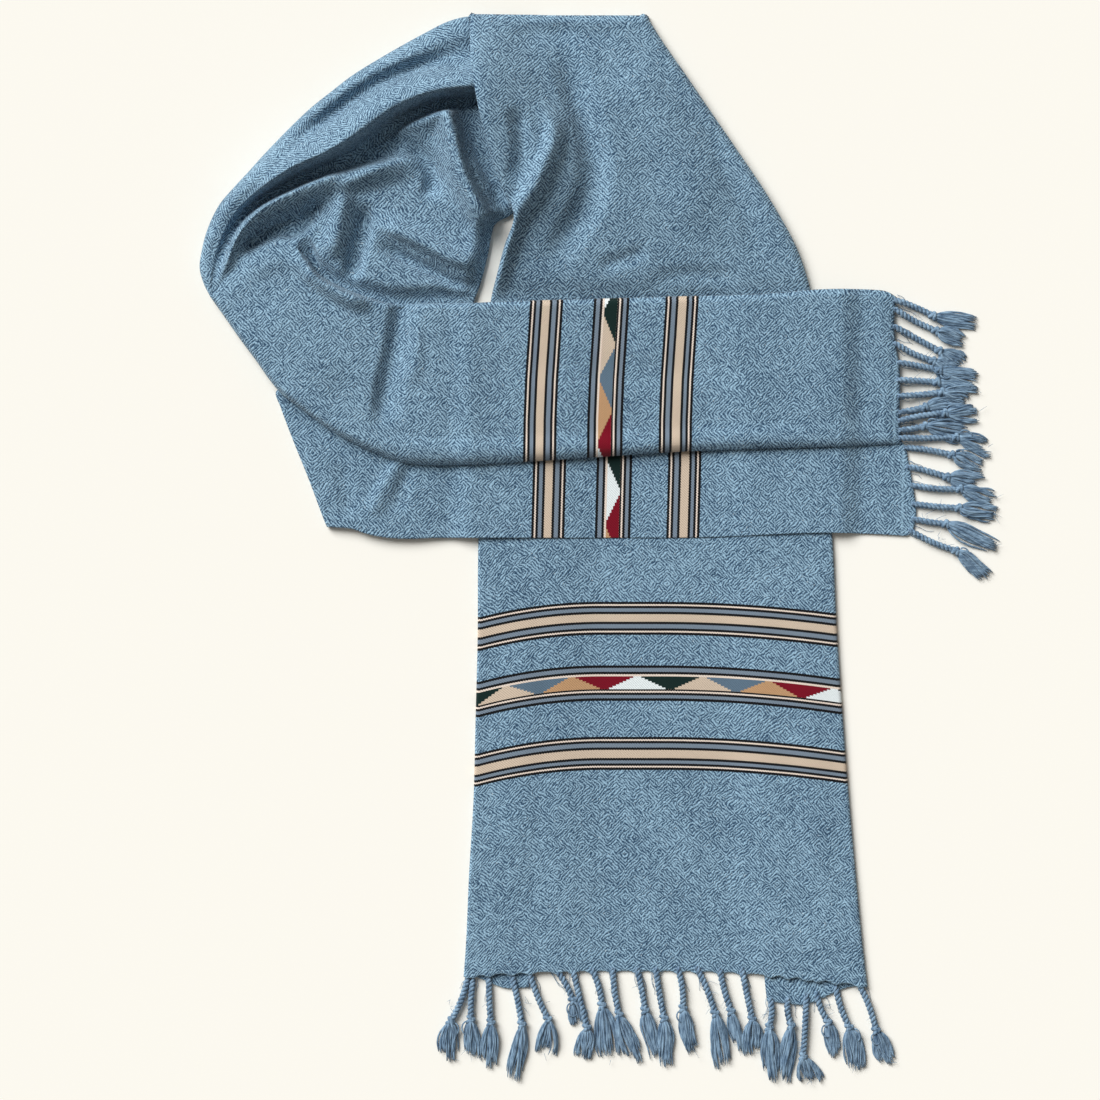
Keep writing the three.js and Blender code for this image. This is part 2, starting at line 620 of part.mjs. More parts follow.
const CROSS_FOLDS = [
  // tongue over the drape
  {
    along: [
      [-192.4, 183.8], [-182.8, 174.2], [-166.8, 163.4], [-144.4, 154.4],
    ],
    rise: 4.5, left: 7, right: 9, start: 0.5,
  },
  // shallow trough where the turn ends
  {
    along: [
      [-129.7, 153.1], [-133.5, 127.5], [-139.9, 98.7], [-141.2, 75],
    ],
    rise: -3.5, left: 9, right: 9, start: 1,
  },
  // low swell after it
  {
    along: [
      [-122, 150.6], [-118.2, 130.7], [-121.4, 101.9],
    ],
    rise: 1.5, left: 9, right: 9, start: 0.6,
  },
  // roundness of the folded edge
  {
    along: [
      [-192.4, 95.5], [-163.6, 77.6], [-134.8, 66.1], [-96.4, 62.9], [-38.8, 64.2], [63.6, 69.9],
      [166, 73.8],
    ],
    rise: 2, left: 10, right: 9, end: 0.2,
  },
  // flat stretch above it
  { along: [[-77.2, 121.1], [12.4, 113.4], [102, 117.3]], rise: -1, left: 16, right: 16 },
];
const crossFolds = foldField(CROSS_FOLDS);
const crossFoldEdge = lineThrough(CROSS_FOLD_EDGE);
const crossTopEdge = lineThrough(CROSS_TOP_EDGE);
const crossPlan = patch({
  low: crossFoldEdge,
  high: crossTopEdge,
  start: (t) => [0, 1].map((k) => mix(CROSS_FOLD_EDGE[0][k], CROSS_TOP_EDGE[0][k], t)),
  end: lineThrough(CROSS_HEM),
});
const RIM_FROM = 13; // reach of the lifted rim over what it covers
const RIM_TO = 22;
const RIM_AIR = 1;
const RIM_HIGH = 5.9;
const NECK_RIM_HIGH = 6.4;
const CROSS_NOSE = 5;
const CROSS_HEM_NOSE = 2.2;

function crossFace(side) {
  return (u, v) => {
    const [x, y] = crossPlan(u, v);
    const fold = apart([x, y], crossPlan(u, 0));
    const top = apart([x, y], crossPlan(u, 1));
    const hem = apart([x, y], crossPlan(1, v));
    const bed = bedHeight(x, y);
    const underHigh = bed + underThick(x) + RIM_AIR;
    const overUnder = ease(RIM_TO, RIM_FROM, fold) * ease(-219.3, -210.3, x) * underHigh;
    const coverHigh = mix(RIM_HIGH, NECK_RIM_HIGH, ease(...CROSS_CLIMB, x)) * ease(159.6, 140.4, x);
    const overDrape = ease(RIM_TO, RIM_FROM, top) * ease(-201.4, -193.7, x) * coverHigh;
    const low = Math.max(bed, overUnder, overDrape);
    const free = bed + crossThick(x) + crossFolds(x, y);
    const high = x < -173.2 ? towardsTurn(x, y, free) : free;
    const topNose = CROSS_NOSE * ease(-194.3, -186.6, x);
    const round = nose(fold, CROSS_NOSE) * nose(top, topNose) * nose(hem, CROSS_HEM_NOSE);
    const middle = mix(low, high, BELLY);
    if (side > 0) return [x, y, mix(middle, Math.max(high, low + CLOTH), round)];
    return [x, y, mix(middle - UNDER_DROP, low, clamp(round * UNDER_ROUND, 0, 1))];
  };
}

function crossTop() {
  return piece(
    "cross_top",
    slab(lines(30, 0, 0.005), lines(10, 0.04, 0.04), crossFace(1), crossFace(-1)),
  );
}

// Crossing end, under layer: its selvedge is the lowest line of the crossing. On its left it is double.
const UNDER_SELVEDGE = [
  [-175.1, 14.2], [-159.1, 13], [-149.5, 9.8], [-138, 7.5], [-122, 6.6], [-106.6, 7.2], [-77.2, 7.2],
  [-0.4, 7.2], [63.6, 7.5], [137.8, 10.4], [172.4, 9.8], [195.4, 8.5],
];
const UNDER_TUCKED = [
  [-202, 104.5], [-192.4, 96.8], [-173.2, 84.6], [-154.6, 74.4], [-141.2, 68.6], [-129.7, 64.2],
  [-113.7, 62.2], [-84.2, 62.2], [-47.8, 64.2], [1.5, 67.4], [38, 69.9], [100.7, 72.5], [146.8, 73.1],
  [190.3, 72.5],
];
const UNDER_FOLD = [
  [-175.1, 14.2], [-177, 18.7], [-186.6, 44.3], [-196.9, 69.9], [-204.6, 90.4], [-207.8, 100.6],
  [-202, 104.5],
];
const UNDER_HEM = [
  [195.4, 8.5], [199.3, 11], [200.9, 15.5], [201.8, 24.5], [199.9, 39.8], [196.7, 57.1], [195.4, 64.2],
  [190.3, 72.5],
];
const UNDER_ROWS = [
  { x: -210.3, thick: 4 },
  { x: -102.8, thick: 4 },
  { x: -83.6, thick: 2.4 },
  { x: -70.8, thick: CLOTH },
  { x: 201.8, thick: CLOTH },
];
const underThick = column(UNDER_ROWS, "x", "thick");
const underPlan = patch({
  low: lineThrough(UNDER_SELVEDGE),
  high: lineThrough(UNDER_TUCKED),
  start: lineThrough(UNDER_FOLD),
  end: lineThrough(UNDER_HEM),
});

function underFace(side) {
  return (u, v) => {
    const [x, y] = underPlan(u, v);
    const low = bedHeight(x, y);
    const high = low + underThick(x);
    const fold = nose(apart([x, y], underPlan(0, v)), 2);
    const selvedge = nose(apart([x, y], underPlan(u, 0)), CLOTH / 2);
    const hem = nose(apart([x, y], underPlan(1, v)), CLOTH / 2);
    const round = fold * mix(0.35, 1, selvedge * hem);
    const middle = mix(low, high, 0.5);
    if (side > 0) return [x, y, mix(middle + 0.1, high, round)];
    return [x, y, mix(middle - 0.1, low, clamp(round * 1.5, 0, 1))];
  };
}

function crossUnder() {
  return piece(
    "cross_under",
    slab(lines(28, 0.006, 0.004), lines(5, 0.02, 0), underFace(1), underFace(-1)),
  );
}

// Fringe: twisted cords that end in a knot and a tuft, rooted in the hem.
const asSolid = (geometry) => {
  const bare = geometry.clone();
  bare.deleteAttribute("normal");
  bare.deleteAttribute("uv");
  const merged = mergeVertices(bare, 1e-5);
  const vertProperties = new Float32Array(merged.attributes.position.array);
  const triVerts = new Uint32Array(merged.index.array);
  return new wasm.Manifold(new wasm.Mesh({ numProp: 3, vertProperties, triVerts }));
};
const asGeometry = (solid) => {
  const mesh = solid.getMesh();
  const geometry = new THREE.BufferGeometry();
  geometry.setAttribute("position", new THREE.BufferAttribute(new Float32Array(mesh.vertProperties), 3));
  geometry.setIndex(new THREE.BufferAttribute(new Uint32Array(mesh.triVerts), 1));
  return geometry;
};

// A closed tube with flat sides along points [x, y, z], with a radius for each of them.
function tube(points, radii, sides, turn) {
  const positions = [];
  const faces = [];
  points.forEach((point, k) => {
    const before = points[Math.max(k - 1, 0)];
    const after = points[Math.min(k + 1, points.length - 1)];
    const along = new THREE.Vector3(...after).sub(new THREE.Vector3(...before)).normalize();
    const across = new THREE.Vector3(-along.y, along.x, 0).normalize();
    const up = new THREE.Vector3().crossVectors(along, across);
    for (let i = 0; i < sides; i += 1) {
      const angle = turn + (2 * Math.PI * i) / sides;
      const side = Math.cos(angle) * radii[k];
      const lift = Math.sin(angle) * radii[k];
      positions.push(
        point[0] + across.x * side + up.x * lift,
        point[1] + across.y * side + up.y * lift,
        point[2] + across.z * side + up.z * lift,
      );
    }
  });
  const ring = (k, i) => k * sides + (i % sides);
  for (let k = 0; k < points.length - 1; k += 1)
    for (let i = 0; i < sides; i += 1) {
      faces.push(ring(k, i), ring(k, i + 1), ring(k + 1, i + 1));
      faces.push(ring(k, i), ring(k + 1, i + 1), ring(k + 1, i));
    }
  for (let i = 1; i < sides - 1; i += 1) {
    faces.push(ring(0, 0), ring(0, i + 1), ring(0, i));
    const last = points.length - 1;
    faces.push(ring(last, 0), ring(last, i), ring(last, i + 1));
  }
  const geometry = new THREE.BufferGeometry();
  geometry.setAttribute("position", new THREE.Float32BufferAttribute(positions, 3));
  geometry.setIndex(faces);
  return asSolid(geometry);
}

const STRIP_RADIUS = 1.2; // backing that the roots are fused into
const STRIP_LIE = STRIP_RADIUS + 0.1;
const ROOT_DEPTH = 0.4; // how far a cord starts inside the strip
const KNOT_HALF = 1.6; // half the knot's length
const KNOT_REACH = 3.6; // from the knot's middle to where the cord has its own size again
const LIE = CORD_RADIUS + 0.15; // height of a cord's middle where it lies on the floor

// One tassel: its cord leaves the strip at a height, lies down by the knot, and opens into a tuft.
function tassel({ root, knot, tip }, rootHigh, order) {
  const cordLong = apart(root, knot);
  const way = [(knot[0] - root[0]) / cordLong, (knot[1] - root[1]) / cordLong];
  const at = (distance, high) => [root[0] + way[0] * distance, root[1] + way[1] * distance, high];
  const knotLie = KNOT_RADIUS + 0.1;
  const cord = tube(
    [
      at(-ROOT_DEPTH, rootHigh),
      at(cordLong - KNOT_REACH, LIE),
      at(cordLong - KNOT_HALF, knotLie),
      at(cordLong + KNOT_HALF, knotLie),
      at(cordLong + KNOT_REACH, LIE),
    ],
    [CORD_RADIUS, CORD_RADIUS, KNOT_RADIUS, KNOT_RADIUS, LOCK_RADIUS],
    4,
    Math.PI / 4,
  );
  const start = at(cordLong + 1.2, LIE);
  const tuftLong = apart(start, tip);
  const side = [-(tip[1] - start[1]) / tuftLong, (tip[0] - start[0]) / tuftLong];
  const locks = Array.from({ length: LOCKS_PER_TUFT }, (_, i) => {
    const spread = (i - (LOCKS_PER_TUFT - 1) / 2) * LOCK_SPREAD;
    const reach = 1 - 0.07 * ((i * 2 + order * 3) % 4);
    const place = (share, out) =>
      [0, 1].map((k) => mix(start[k], tip[k], share) + side[k] * spread * out);
    const points = [
      [...place(0, 0.45), LIE],
      [...place(reach, 1), LOCK_TIP_RADIUS + 0.4],
    ];
    return tube(points, [LOCK_RADIUS, LOCK_TIP_RADIUS], 3, Math.PI / 2);
  });
  return [cord, ...locks];
}

function fringe(name, strip, rows) {
  const corners = strip.map((point) => new THREE.Vector3(...point));
  const line = new THREE.CatmullRomCurve3(corners, false, "centripetal");
  const solids = [tube(strip, strip.map(() => STRIP_RADIUS), 4, Math.PI / 4)];
  const finePoints = span(200).map((t) => line.getPointAt(t).toArray());
  rows.forEach((row, order) => {
    const root = finePoints.reduce((best, p) => (apart(p, row.root) < apart(best, row.root) ? p : best));
    solids.push(...tassel({ ...row, root }, Math.max(root[2], LIE), order));
  });
  return piece(name, asGeometry(wasm.Manifold.union(solids).simplify(WELD)), YARN);
}

const LOWER_STRIP = [
  [-86.8, -275.2], [-74.6, -277.6], [-64.4, -281.6], [-54.2, -282.1], [-47.1, -282.3], [-43, -280.2],
  [-41.4, -275.4], [-35.6, -273.1], [-24.7, -272.3], [-0.4, -271.8], [57.2, -271.8], [77.7, -272.6],
  [96.9, -273.9], [103, -277], [104, -284.6], [105.2, -290.4], [109.7, -291.7], [119.3, -292.1],
  [135, -291.9], [151.3, -285], [162.8, -281.4], [170.5, -281.8],
].map(([x, y]) => [x, y, STRIP_LIE]);
const LOWER_TASSELS = [
  { root: [-85.5, -275], knot: [-95.8, -301.9], tip: [-95.1, -326.2] },
  { root: [-81.7, -276.3], knot: [-83, -300.6], tip: [-83, -325] },
  { root: [-71.4, -275], knot: [-70.2, -302.6], tip: [-71.4, -333.3] },
  { root: [-56.7, -272.5], knot: [-50.3, -303.8], tip: [-54.2, -337.8] },
  { root: [-45.2, -271.2], knot: [-33.7, -300.6], tip: [-36.2, -323] },
  { root: [-27.9, -269.9], knot: [-17.7, -288.5], tip: [-13.2, -302.6] },
  { root: [-17.7, -269.3], knot: [-8.7, -305.8], tip: [-9.4, -326.2] },
  { root: [-5.5, -269.3], knot: [0.9, -291.7], tip: [6.6, -327.5] },
  { root: [7.9, -269.3], knot: [11.8, -297.4], tip: [23.3, -328.2] },
  { root: [23.3, -269.3], knot: [28.4, -294.9], tip: [35.4, -323] },
  { root: [35.4, -269.3], knot: [40.6, -300], tip: [42.5, -330.1] },
  { root: [49.5, -269.3], knot: [52.7, -293.6], tip: [59.8, -323] },
  { root: [61.7, -268], knot: [73.2, -296.8], tip: [80.2, -332.6] },
  { root: [76.4, -269.3], knot: [83.4, -295.5], tip: [88.6, -320.5] },
  { root: [90.5, -269.3], knot: [96.9, -300.6], tip: [99.4, -323] },
  { root: [108.4, -291.7], knot: [107.8, -305.8], tip: [111, -339.7] },
  { root: [119.9, -291.7], knot: [121.8, -304.5], tip: [118, -341] },
  { root: [131.4, -291.7], knot: [129.5, -324.3], tip: [135.3, -341.6] },
  { root: [138.5, -290.4], knot: [145.5, -302.6], tip: [150, -323.7] },
  { root: [150.6, -285.3], knot: [159, -305.8], tip: [164.1, -332.6] },
  { root: [165.4, -281.4], knot: [176.2, -307.7], tip: [186.5, -330.1] },
];
const CROSS_STRIP = [
  [...[190.6, 159.5], 4], [...[189.4, 146.7], 4], [...[190.3, 132.6], 3.6], [...[192.6, 117.9], 3.4],
  [...[193.2, 100.6], 3.4], [...[192.9, 85.9], 3.6], [...[193.8, 71.8], 4.4],
];
const CROSS_TASSELS = [
  { root: [189.7, 158.9], knot: [212.7, 149.3], tip: [239, 144.8] },
  { root: [191, 153.1], knot: [214.6, 139.7], tip: [231.9, 133.3] },
  { root: [189.7, 142.2], knot: [216.6, 126.9], tip: [230, 116.6] },
  { root: [189.7, 131.4], knot: [212.7, 120.5], tip: [226.8, 110.9] },
  { root: [192.2, 119.2], knot: [216.6, 114.7], tip: [242.2, 110.2] },
  { root: [192.2, 108.3], knot: [215.3, 107], tip: [242.2, 102.6] },
  { root: [194.2, 98.1], knot: [218.5, 100.6], tip: [236.4, 97.4] },
  { root: [195.4, 87.8], knot: [207.6, 91], tip: [228.1, 96.2] },
  { root: [192.9, 82.1], knot: [220.4, 87.2], tip: [242.8, 88.5] },
  { root: [195.4, 76.3], knot: [207.6, 78.9], tip: [234.5, 75.7] },
  { root: [195.4, 72.5], knot: [227.4, 71.8], tip: [249.2, 64.8] },
];
const UNDER_STRIP = [
  [197.7, 65.4], [199, 57.1], [201.8, 39.8], [203.8, 24.5], [202.8, 14.9], [200.6, 9.8],
].map(([x, y]) => [x, y, STRIP_LIE]);
const UNDER_TASSELS = [
  { root: [196.7, 64.8], knot: [224.9, 60.3], tip: [243.4, 52.6] },
  { root: [198.6, 52.6], knot: [221.7, 46.2], tip: [244.1, 43] },
  { root: [200.6, 41.1], knot: [230, 38.6], tip: [253.7, 32.2] },
  { root: [201.8, 29], knot: [229.4, 26.4], tip: [253.7, 22.6] },
  { root: [201.8, 19.4], knot: [221, 16.2], tip: [255, 0.8] },
  { root: [199.9, 11.7], knot: [227.4, -1.1], tip: [247.9, -17.8] },
];

const muffler = new THREE.Group();
muffler.add(
  lowerTail(),
  neckPanel(),
  loopRoll(),
  loopDrape(),
  crossUnder(),
  crossTop(),
  fringe("fringe_lower", LOWER_STRIP, LOWER_TASSELS),
  fringe("fringe_cross_top", CROSS_STRIP, CROSS_TASSELS),
  fringe("fringe_cross_under", UNDER_STRIP, UNDER_TASSELS),
);
export default muffler;
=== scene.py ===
"""Looks of a wool muffler with banded ends and knotted fringes, laid flat in a loop.

Sizes in the tables are millimetres in the part's own frame, +Z up from the floor.
"""

import math

import bmesh
import bpy
import numpy as np
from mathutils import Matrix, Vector


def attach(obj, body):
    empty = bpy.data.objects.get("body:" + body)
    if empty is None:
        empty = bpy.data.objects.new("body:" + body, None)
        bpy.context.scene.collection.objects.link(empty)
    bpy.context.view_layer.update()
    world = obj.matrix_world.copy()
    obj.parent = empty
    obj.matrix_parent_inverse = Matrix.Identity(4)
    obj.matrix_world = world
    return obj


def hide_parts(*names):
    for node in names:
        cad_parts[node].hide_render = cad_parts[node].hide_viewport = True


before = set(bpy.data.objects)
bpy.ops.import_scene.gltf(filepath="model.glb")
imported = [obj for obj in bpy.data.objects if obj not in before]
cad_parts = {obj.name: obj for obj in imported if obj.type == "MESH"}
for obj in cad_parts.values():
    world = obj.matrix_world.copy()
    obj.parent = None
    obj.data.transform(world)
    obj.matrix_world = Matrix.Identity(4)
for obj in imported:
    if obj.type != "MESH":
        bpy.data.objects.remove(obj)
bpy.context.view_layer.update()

bl_info = {
    "name": "Laid Wool Muffler",
    "version": (1, 0, 0),
    "blender": (4, 5, 0),
    "location": "View3D > Sidebar > Muffler",
    "description": "Builds a banded wool muffler laid flat in a loop, with its fringes and floor",
    "category": "Add Mesh",
}

MM = 0.001
SEED = 7


def colour_property(name, description, red, green, blue):
    """A colour given as sRGB values from 0 to 255, held as linear ones."""
    linear = []
    for value in (red, green, blue):
        share = value / 255
        linear.append(share / 12.92 if share <= 0.04045 else ((share + 0.055) / 1.055) ** 2.4)
    return bpy.props.FloatVectorProperty(
        name=name, description=description, default=linear, size=3, min=0, max=1, subtype="COLOR"
    )


def length_property(name, description, default):
    """A length in metres."""
    return bpy.props.FloatProperty(
        name=name, description=description, default=default, precision=5, unit="LENGTH"
    )


class MufflerSizes(bpy.types.PropertyGroup):
    """Driving sizes of the muffler's cloth and fringe."""

    wall: length_property("Cloth thickness", "Thickness of the fulled twill", 0.0016)
    thread: length_property("Thread pitch", "Distance between neighbouring threads", 0.0006)
    ply: length_property("Ply radius", "Radius of each ply of a fringe cord", 0.00115)
    twist: length_property("Twist pitch", "Length in which a cord's plies turn round once", 0.0056)
    yarn: length_property("Yarn radius", "Radius of a loose yarn in a tuft", 0.00058)
    yarns: bpy.props.IntProperty(
        name="Yarns in a tuft",
        description="Number of loose yarns that open out under a knot",
        default=36,
    )


class MufflerColours(bpy.types.PropertyGroup):
    """Colours of the muffler's yarns and of the floor."""

    light: colour_property("Light blue", "Lit threads of the field", 161, 196, 218)
    deep: colour_property("Deep blue", "Deep threads of the field", 42, 71, 98)
    fleck: colour_property("Fleck", "Pale flecks spun into the yarn", 205, 219, 224)
    black: colour_property("Black", "Fine black lines of the bands", 6, 7, 11)
    cream: colour_property("Cream", "Wide cream stripes and triangles", 209, 190, 169)
    pale: colour_property("Pale cream", "Narrow cream stripes", 233, 217, 203)
    grey: colour_property("Grey blue", "Grey blue stripes beside the black lines", 121, 136, 151)
    slate: colour_property("Slate", "Slate triangles", 93, 115, 133)
    green: colour_property("Green", "Dark green triangles", 8, 36, 33)
    white: colour_property("White", "White triangles", 231, 239, 240)
    crimson: colour_property("Crimson", "Crimson triangles", 122, 0, 28)
    tan: colour_property("Tan", "Tan triangles", 192, 151, 111)
    fringe: colour_property("Fringe blue", "Yarn of the fringes", 158, 188, 211)
    fringe_deep: colour_property("Fringe shade", "Darker fibres of the fringes", 45, 75, 105)
    floor: colour_property("Floor", "Pale floor", 252, 249, 240)


def mix(a, b, t):
    return a + (b - a) * t


def ease(start, end, x):
    t = np.clip((x - start) / (end - start), 0, 1)
    return t * t * (3 - 2 * t)


def curved(t, first, slope_first, second, slope_second):
    """A smooth course from one value to the next, with its slopes there."""
    return (
        (2 * t**3 - 3 * t**2 + 1) * first
        + (t**3 - 2 * t**2 + t) * slope_first
        + (3 * t**2 - 2 * t**3) * second
        + (t**3 - t**2) * slope_second
    )


def line_through(points, fine=24):
    """A smooth line through plan points, as a function from shares of its length to points."""
    p = np.array(points, float)
    padded = np.vstack([2 * p[0] - p[1], p, 2 * p[-1] - p[-2]])
    dense = []
    for k in range(1, len(padded) - 2):
        a, b, c, d = padded[k - 1 : k + 3]
        ta = math.sqrt(max(np.linalg.norm(b - a), 1e-6))
        tb = math.sqrt(max(np.linalg.norm(c - b), 1e-6))
        tc = math.sqrt(max(np.linalg.norm(d - c), 1e-6))
        slope_b = tb * ((b - a) / ta - (c - a) / (ta + tb) + (c - b) / tb)
        slope_c = tb * ((c - b) / tb - (d - b) / (tb + tc) + (d - c) / tc)
        t = np.linspace(0, 1, fine, endpoint=False)[:, None]
        dense.append(curved(t, b, slope_b, c, slope_c))
    dense = np.vstack([*dense, p[-1:]])
    steps = np.linalg.norm(np.diff(dense, axis=0), axis=1)
    length = np.concatenate([[0], np.cumsum(steps)])
    share = length / length[-1]

    def at(t):
        return np.stack([np.interp(t, share, dense[:, k]) for k in range(dense.shape[1])], axis=-1)

    return at


def column(rows, entry):
    """A value read smoothly off a table of rows; the first entry of each row is the place."""
    place = np.array([row[0] for row in rows], float)
    value = np.array([row[entry] for row in rows], float)
    order = np.argsort(place)
    place, value = place[order], value[order]
    slope = np.gradient(value, place)
    slope[0] = (value[1] - value[0]) / (place[1] - place[0])
    slope[-1] = (value[-1] - value[-2]) / (place[-1] - place[-2])

    def at(x):
        x = np.clip(x, place[0], place[-1])
        k = np.clip(np.searchsorted(place, x) - 1, 0, len(place) - 2)
        width = place[k + 1] - place[k]
        t = (x - place[k]) / width
        return curved(t, value[k], width * slope[k], value[k + 1], width * slope[k + 1])

    return at


def columns(rows):
    """The smooth values of a table, one for each entry after the place."""
    return [column(rows, entry) for entry in range(1, len(rows[0]))]


def nearest(path, x, y):
    """Distance from a walked path, the share along it, and the side it is on (left is positive)."""
    best = np.full(np.shape(x), 1e9)
    share = np.zeros(np.shape(x))
    side = np.ones(np.shape(x))
    for k in range(len(path) - 1):
        ax, ay = path[k]
        dx, dy = path[k + 1] - path[k]
        t = np.clip(((x - ax) * dx + (y - ay) * dy) / (dx * dx + dy * dy), 0, 1)
        distance = np.hypot(x - ax - t * dx, y - ay - t * dy)
        closer = distance < best
        best = np.where(closer, distance, best)
        share = np.where(closer, (k + t) / (len(path) - 1), share)
        side = np.where(closer, np.sign(dx * (y - ay) - dy * (x - ax) + 1e-9), side)
    return best, share, side


def fold_field(folds):
    """Soft ridges and troughs, each with its reach to the left and to the right of its line.

    A fold is (plan line, rise, reach left, reach right, share of the rise at the start, at the end).
    """
    steps = np.linspace(0, 1, 30)
    prepared = []
    for fold in folds:
        prepared.append((line_through(fold[0])(steps), *fold[1:]))

    def at(x, y):
        height = np.zeros(np.shape(x))
        for path, rise, left, right, start, end in prepared:
            distance, share, side = nearest(path, x, y)
            reach = np.where(side > 0, left, right)
            begin = mix(start, 1, ease(0, 0.25, share))
            finish = mix(end, 1, ease(1, 0.75, share))
            bell = 0.5 * (1 + np.cos(np.pi * np.clip(distance / reach, 0, 1)))
            height = height + rise * np.minimum(begin, finish) * bell
        return height

    return at


def waviness(scale, seed):
    """Small even unevenness of laid cloth, from a few slanted waves."""
    source = np.random.default_rng(seed)
    waves = []
    for _ in range(9):
        angle = source.uniform(0, math.pi)
        length = scale * source.uniform(0.6, 1.6)
        waves.append((math.cos(angle) / length, math.sin(angle) / length, source.uniform(0, 6.3)))

    def at(x, y):
        total = np.zeros(np.shape(x))
        for a, b, phase in waves:
            total = total + np.sin(2 * math.pi * (a * x + b * y) + phase)
        return total / 4.5

    return at


def add_sheet(bm, uv_layer, places, cloth):
    """Adds a grid of rows of places (mm) with cloth coordinates (mm) for its texture."""
    rows, columns = places.shape[:2]
    made = bmesh.ops.create_grid(bm, x_segments=columns - 1, y_segments=rows - 1, size=1)["verts"]
    flat_places = places.reshape(-1, 3)
    flat_cloth = cloth.reshape(-1, 2)
    number = {}
    for k, vert in enumerate(made):
        vert.co = Vector(flat_places[k] * MM)
        number[vert] = k
    faces = {face for vert in made for face in vert.link_faces}
    for face in faces:
        face.smooth = True
        for loop in face.loops:
            k = number[loop.vert]
            loop[uv_layer].uv = flat_cloth[k] * MM


def cloth_object(name, grids, material, wall, replaced):
    """The finished sheet with its wall, from grids of places and their cloth coordinates (mm)."""
    bm = bmesh.new()
    uv_layer = bm.loops.layers.uv.new("cloth")
    for places, cloth in grids:
        add_sheet(bm, uv_layer, places, cloth)
    if len(grids) > 1:
        bmesh.ops.remove_doubles(bm, verts=bm.verts, dist=0.02 * MM)
    piece = mesh_object(name, bm, material)
    solid = piece.modifiers.new("Wall", "SOLIDIFY")
    solid.thickness = wall
    solid.offset = -1
    solid.use_even_offset = False
    solid.use_rim = True
    place_piece(piece, replaced)
    return piece


def mesh_object(name, bm, material):
    """An object in the scene made from a bmesh, which is used up."""
    mesh = bpy.data.meshes.new(name)
    bm.to_mesh(mesh)
    bm.free()
    mesh.materials.append(material)
    made = bpy.data.objects.new(name, mesh)
    bpy.context.scene.collection.objects.link(made)
    return made


def place_piece(piece, replaced):
    """A piece rides on the body and stands for its CAD nodes."""
    if not piece.data.polygons:
        raise RuntimeError(f"{piece.name} has no faces")
    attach(piece, "root")
    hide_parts(*replaced)


# Heights that the stretches share

WALL = 1.8  # room for one layer
AIR = 0.5  # gap between two layers
LIFT = 0.15  # gap to the floor
TURN = (WALL + AIR) / 2  # half the height of a folded side
RAISED = WALL + 2 * TURN

# Tail: a flat panel with both sides folded under

LEFT_TUCK = 41  # width folded under
RIGHT_TUCK = 63.4
LEFT_PEEK = 9  # how far a folded side shows below the hem
RIGHT_PEEK = 16.6
CLOTH_LEFT = -81.6  # where the weave starts across the tail and the neck
SIDE_WIDTH = 3.6  # cloth that goes round a folded side

# Place up the tail, left edge, right edge, sag at the left, sag at the right
TAIL_ROWS = [
    (-270.6, -86.8, 169.8, 3, 9.5),
    (-250.1, -85.5, 167.3, 6, 9),
    (-198.9, -83.3, 162.2, 9, 8.5),
    (-147.7, -80.4, 157.7, 10.5, 8.5),
    (-96.5, -79.1, 153.8, 10.5, 8.5),
    (-45.3, -77.8, 150.3, 10, 7.5),
    (5.9, -77.5, 147.8, 8, 6),
    (82.7, -74.6, 142.3, 0, 0),
]
tail_left, tail_right, tail_left_sag, tail_right_sag = columns(TAIL_ROWS)
HEM_Y = TAIL_ROWS[0][0]
TAIL_END = TAIL_ROWS[-1][0]

TAIL_FOLDS = [
    ([(25.2, -6.9), (31.6, -58.1), (34.8, -109.3), (31.6, -160.5)], 0.9, 55, 60, 0.2, 0),
    ([(-51.6, -26.1), (-49, -96.5), (-52.9, -173.3), (-64.4, -243.7)], 0.8, 16, 22, 0.3, 0.2),
    ([(127.6, -32.5), (132.7, -109.3), (137.2, -186.1), (141.7, -243.7)], 0.7, 20, 14, 0.3, 0.2),
    ([(-26, -224.5), (25.2, -232.2), (89.2, -227.7), (146.8, -234.1)], -0.5, 22, 22, 0, 0),
]
tail_folds = fold_field(TAIL_FOLDS)
tail_unevenness = waviness(70, 3)
HEM_PULL = 2.1  # how far each cord draws the hem down


def panel_height(across):
    """Upper face over the floor: raised on the tucks, resting between them."""
    return mix(RAISED, WALL, ease(0.2, 0.36, across) * (1 - ease(0.66, 0.8, across)))


# Neck panel: the same stretch of cloth past the crossing, puffed up

# Place up the neck, left edge, right edge, heights at the left, middle and right
NECK_ROWS = [
    (83.4, -74.6, 142.3, 5, 5, 5),
    (140.3, -71.4, 137.2, 5, 5, 5),
    (159.5, -70.2, 135.3, 6, 6, 5.5),
    (175.5, -66.3, 131.4, 9, 9, 7.5),
    (194.7, -61.2, 124.4, 12, 12, 9),
    (212, -55.4, 115.1, 16, 14, 10),
    (228, -62, 105.5, 23, 15, 10),
    (254.2, -70.8, 87.9, 31, 17, 10),
    (283, -78.5, 68.1, 35, 17, 10),
    (302.9, -81.7, 54.6, 32, 15, 9.5),
    (322.1, -83.3, 41.2, 24, 12, 9),
    (341.3, -83, 29, 13, 9, 8),
]
neck_left, neck_right, neck_left_high, neck_middle_high, neck_right_high = columns(NECK_ROWS)
NECK_BOTTOM = NECK_ROWS[0][0]
NECK_TOP = NECK_ROWS[-1][0]
NECK_PUFF = (151.8, 173.6)  # where the panel rises from the tail's height
NECK_MIDDLE = 0.42  # share across the panel where its middle height holds
HEAP_FROM = 197.9  # the loop's hidden layers hold the panel up above this
HEAP_WIDTH = 39.7
HEAP_STARTS = (199.2, 206.9)  # between these the panel's inside comes up to them
NECK_DENSE = 146.7  # above this its rows lie closer
NECK_SIDE = 3.2  # radius of its left side where that lies low
NECK_SIDE_MORE = 4.5  # and what it gains where the side stands up
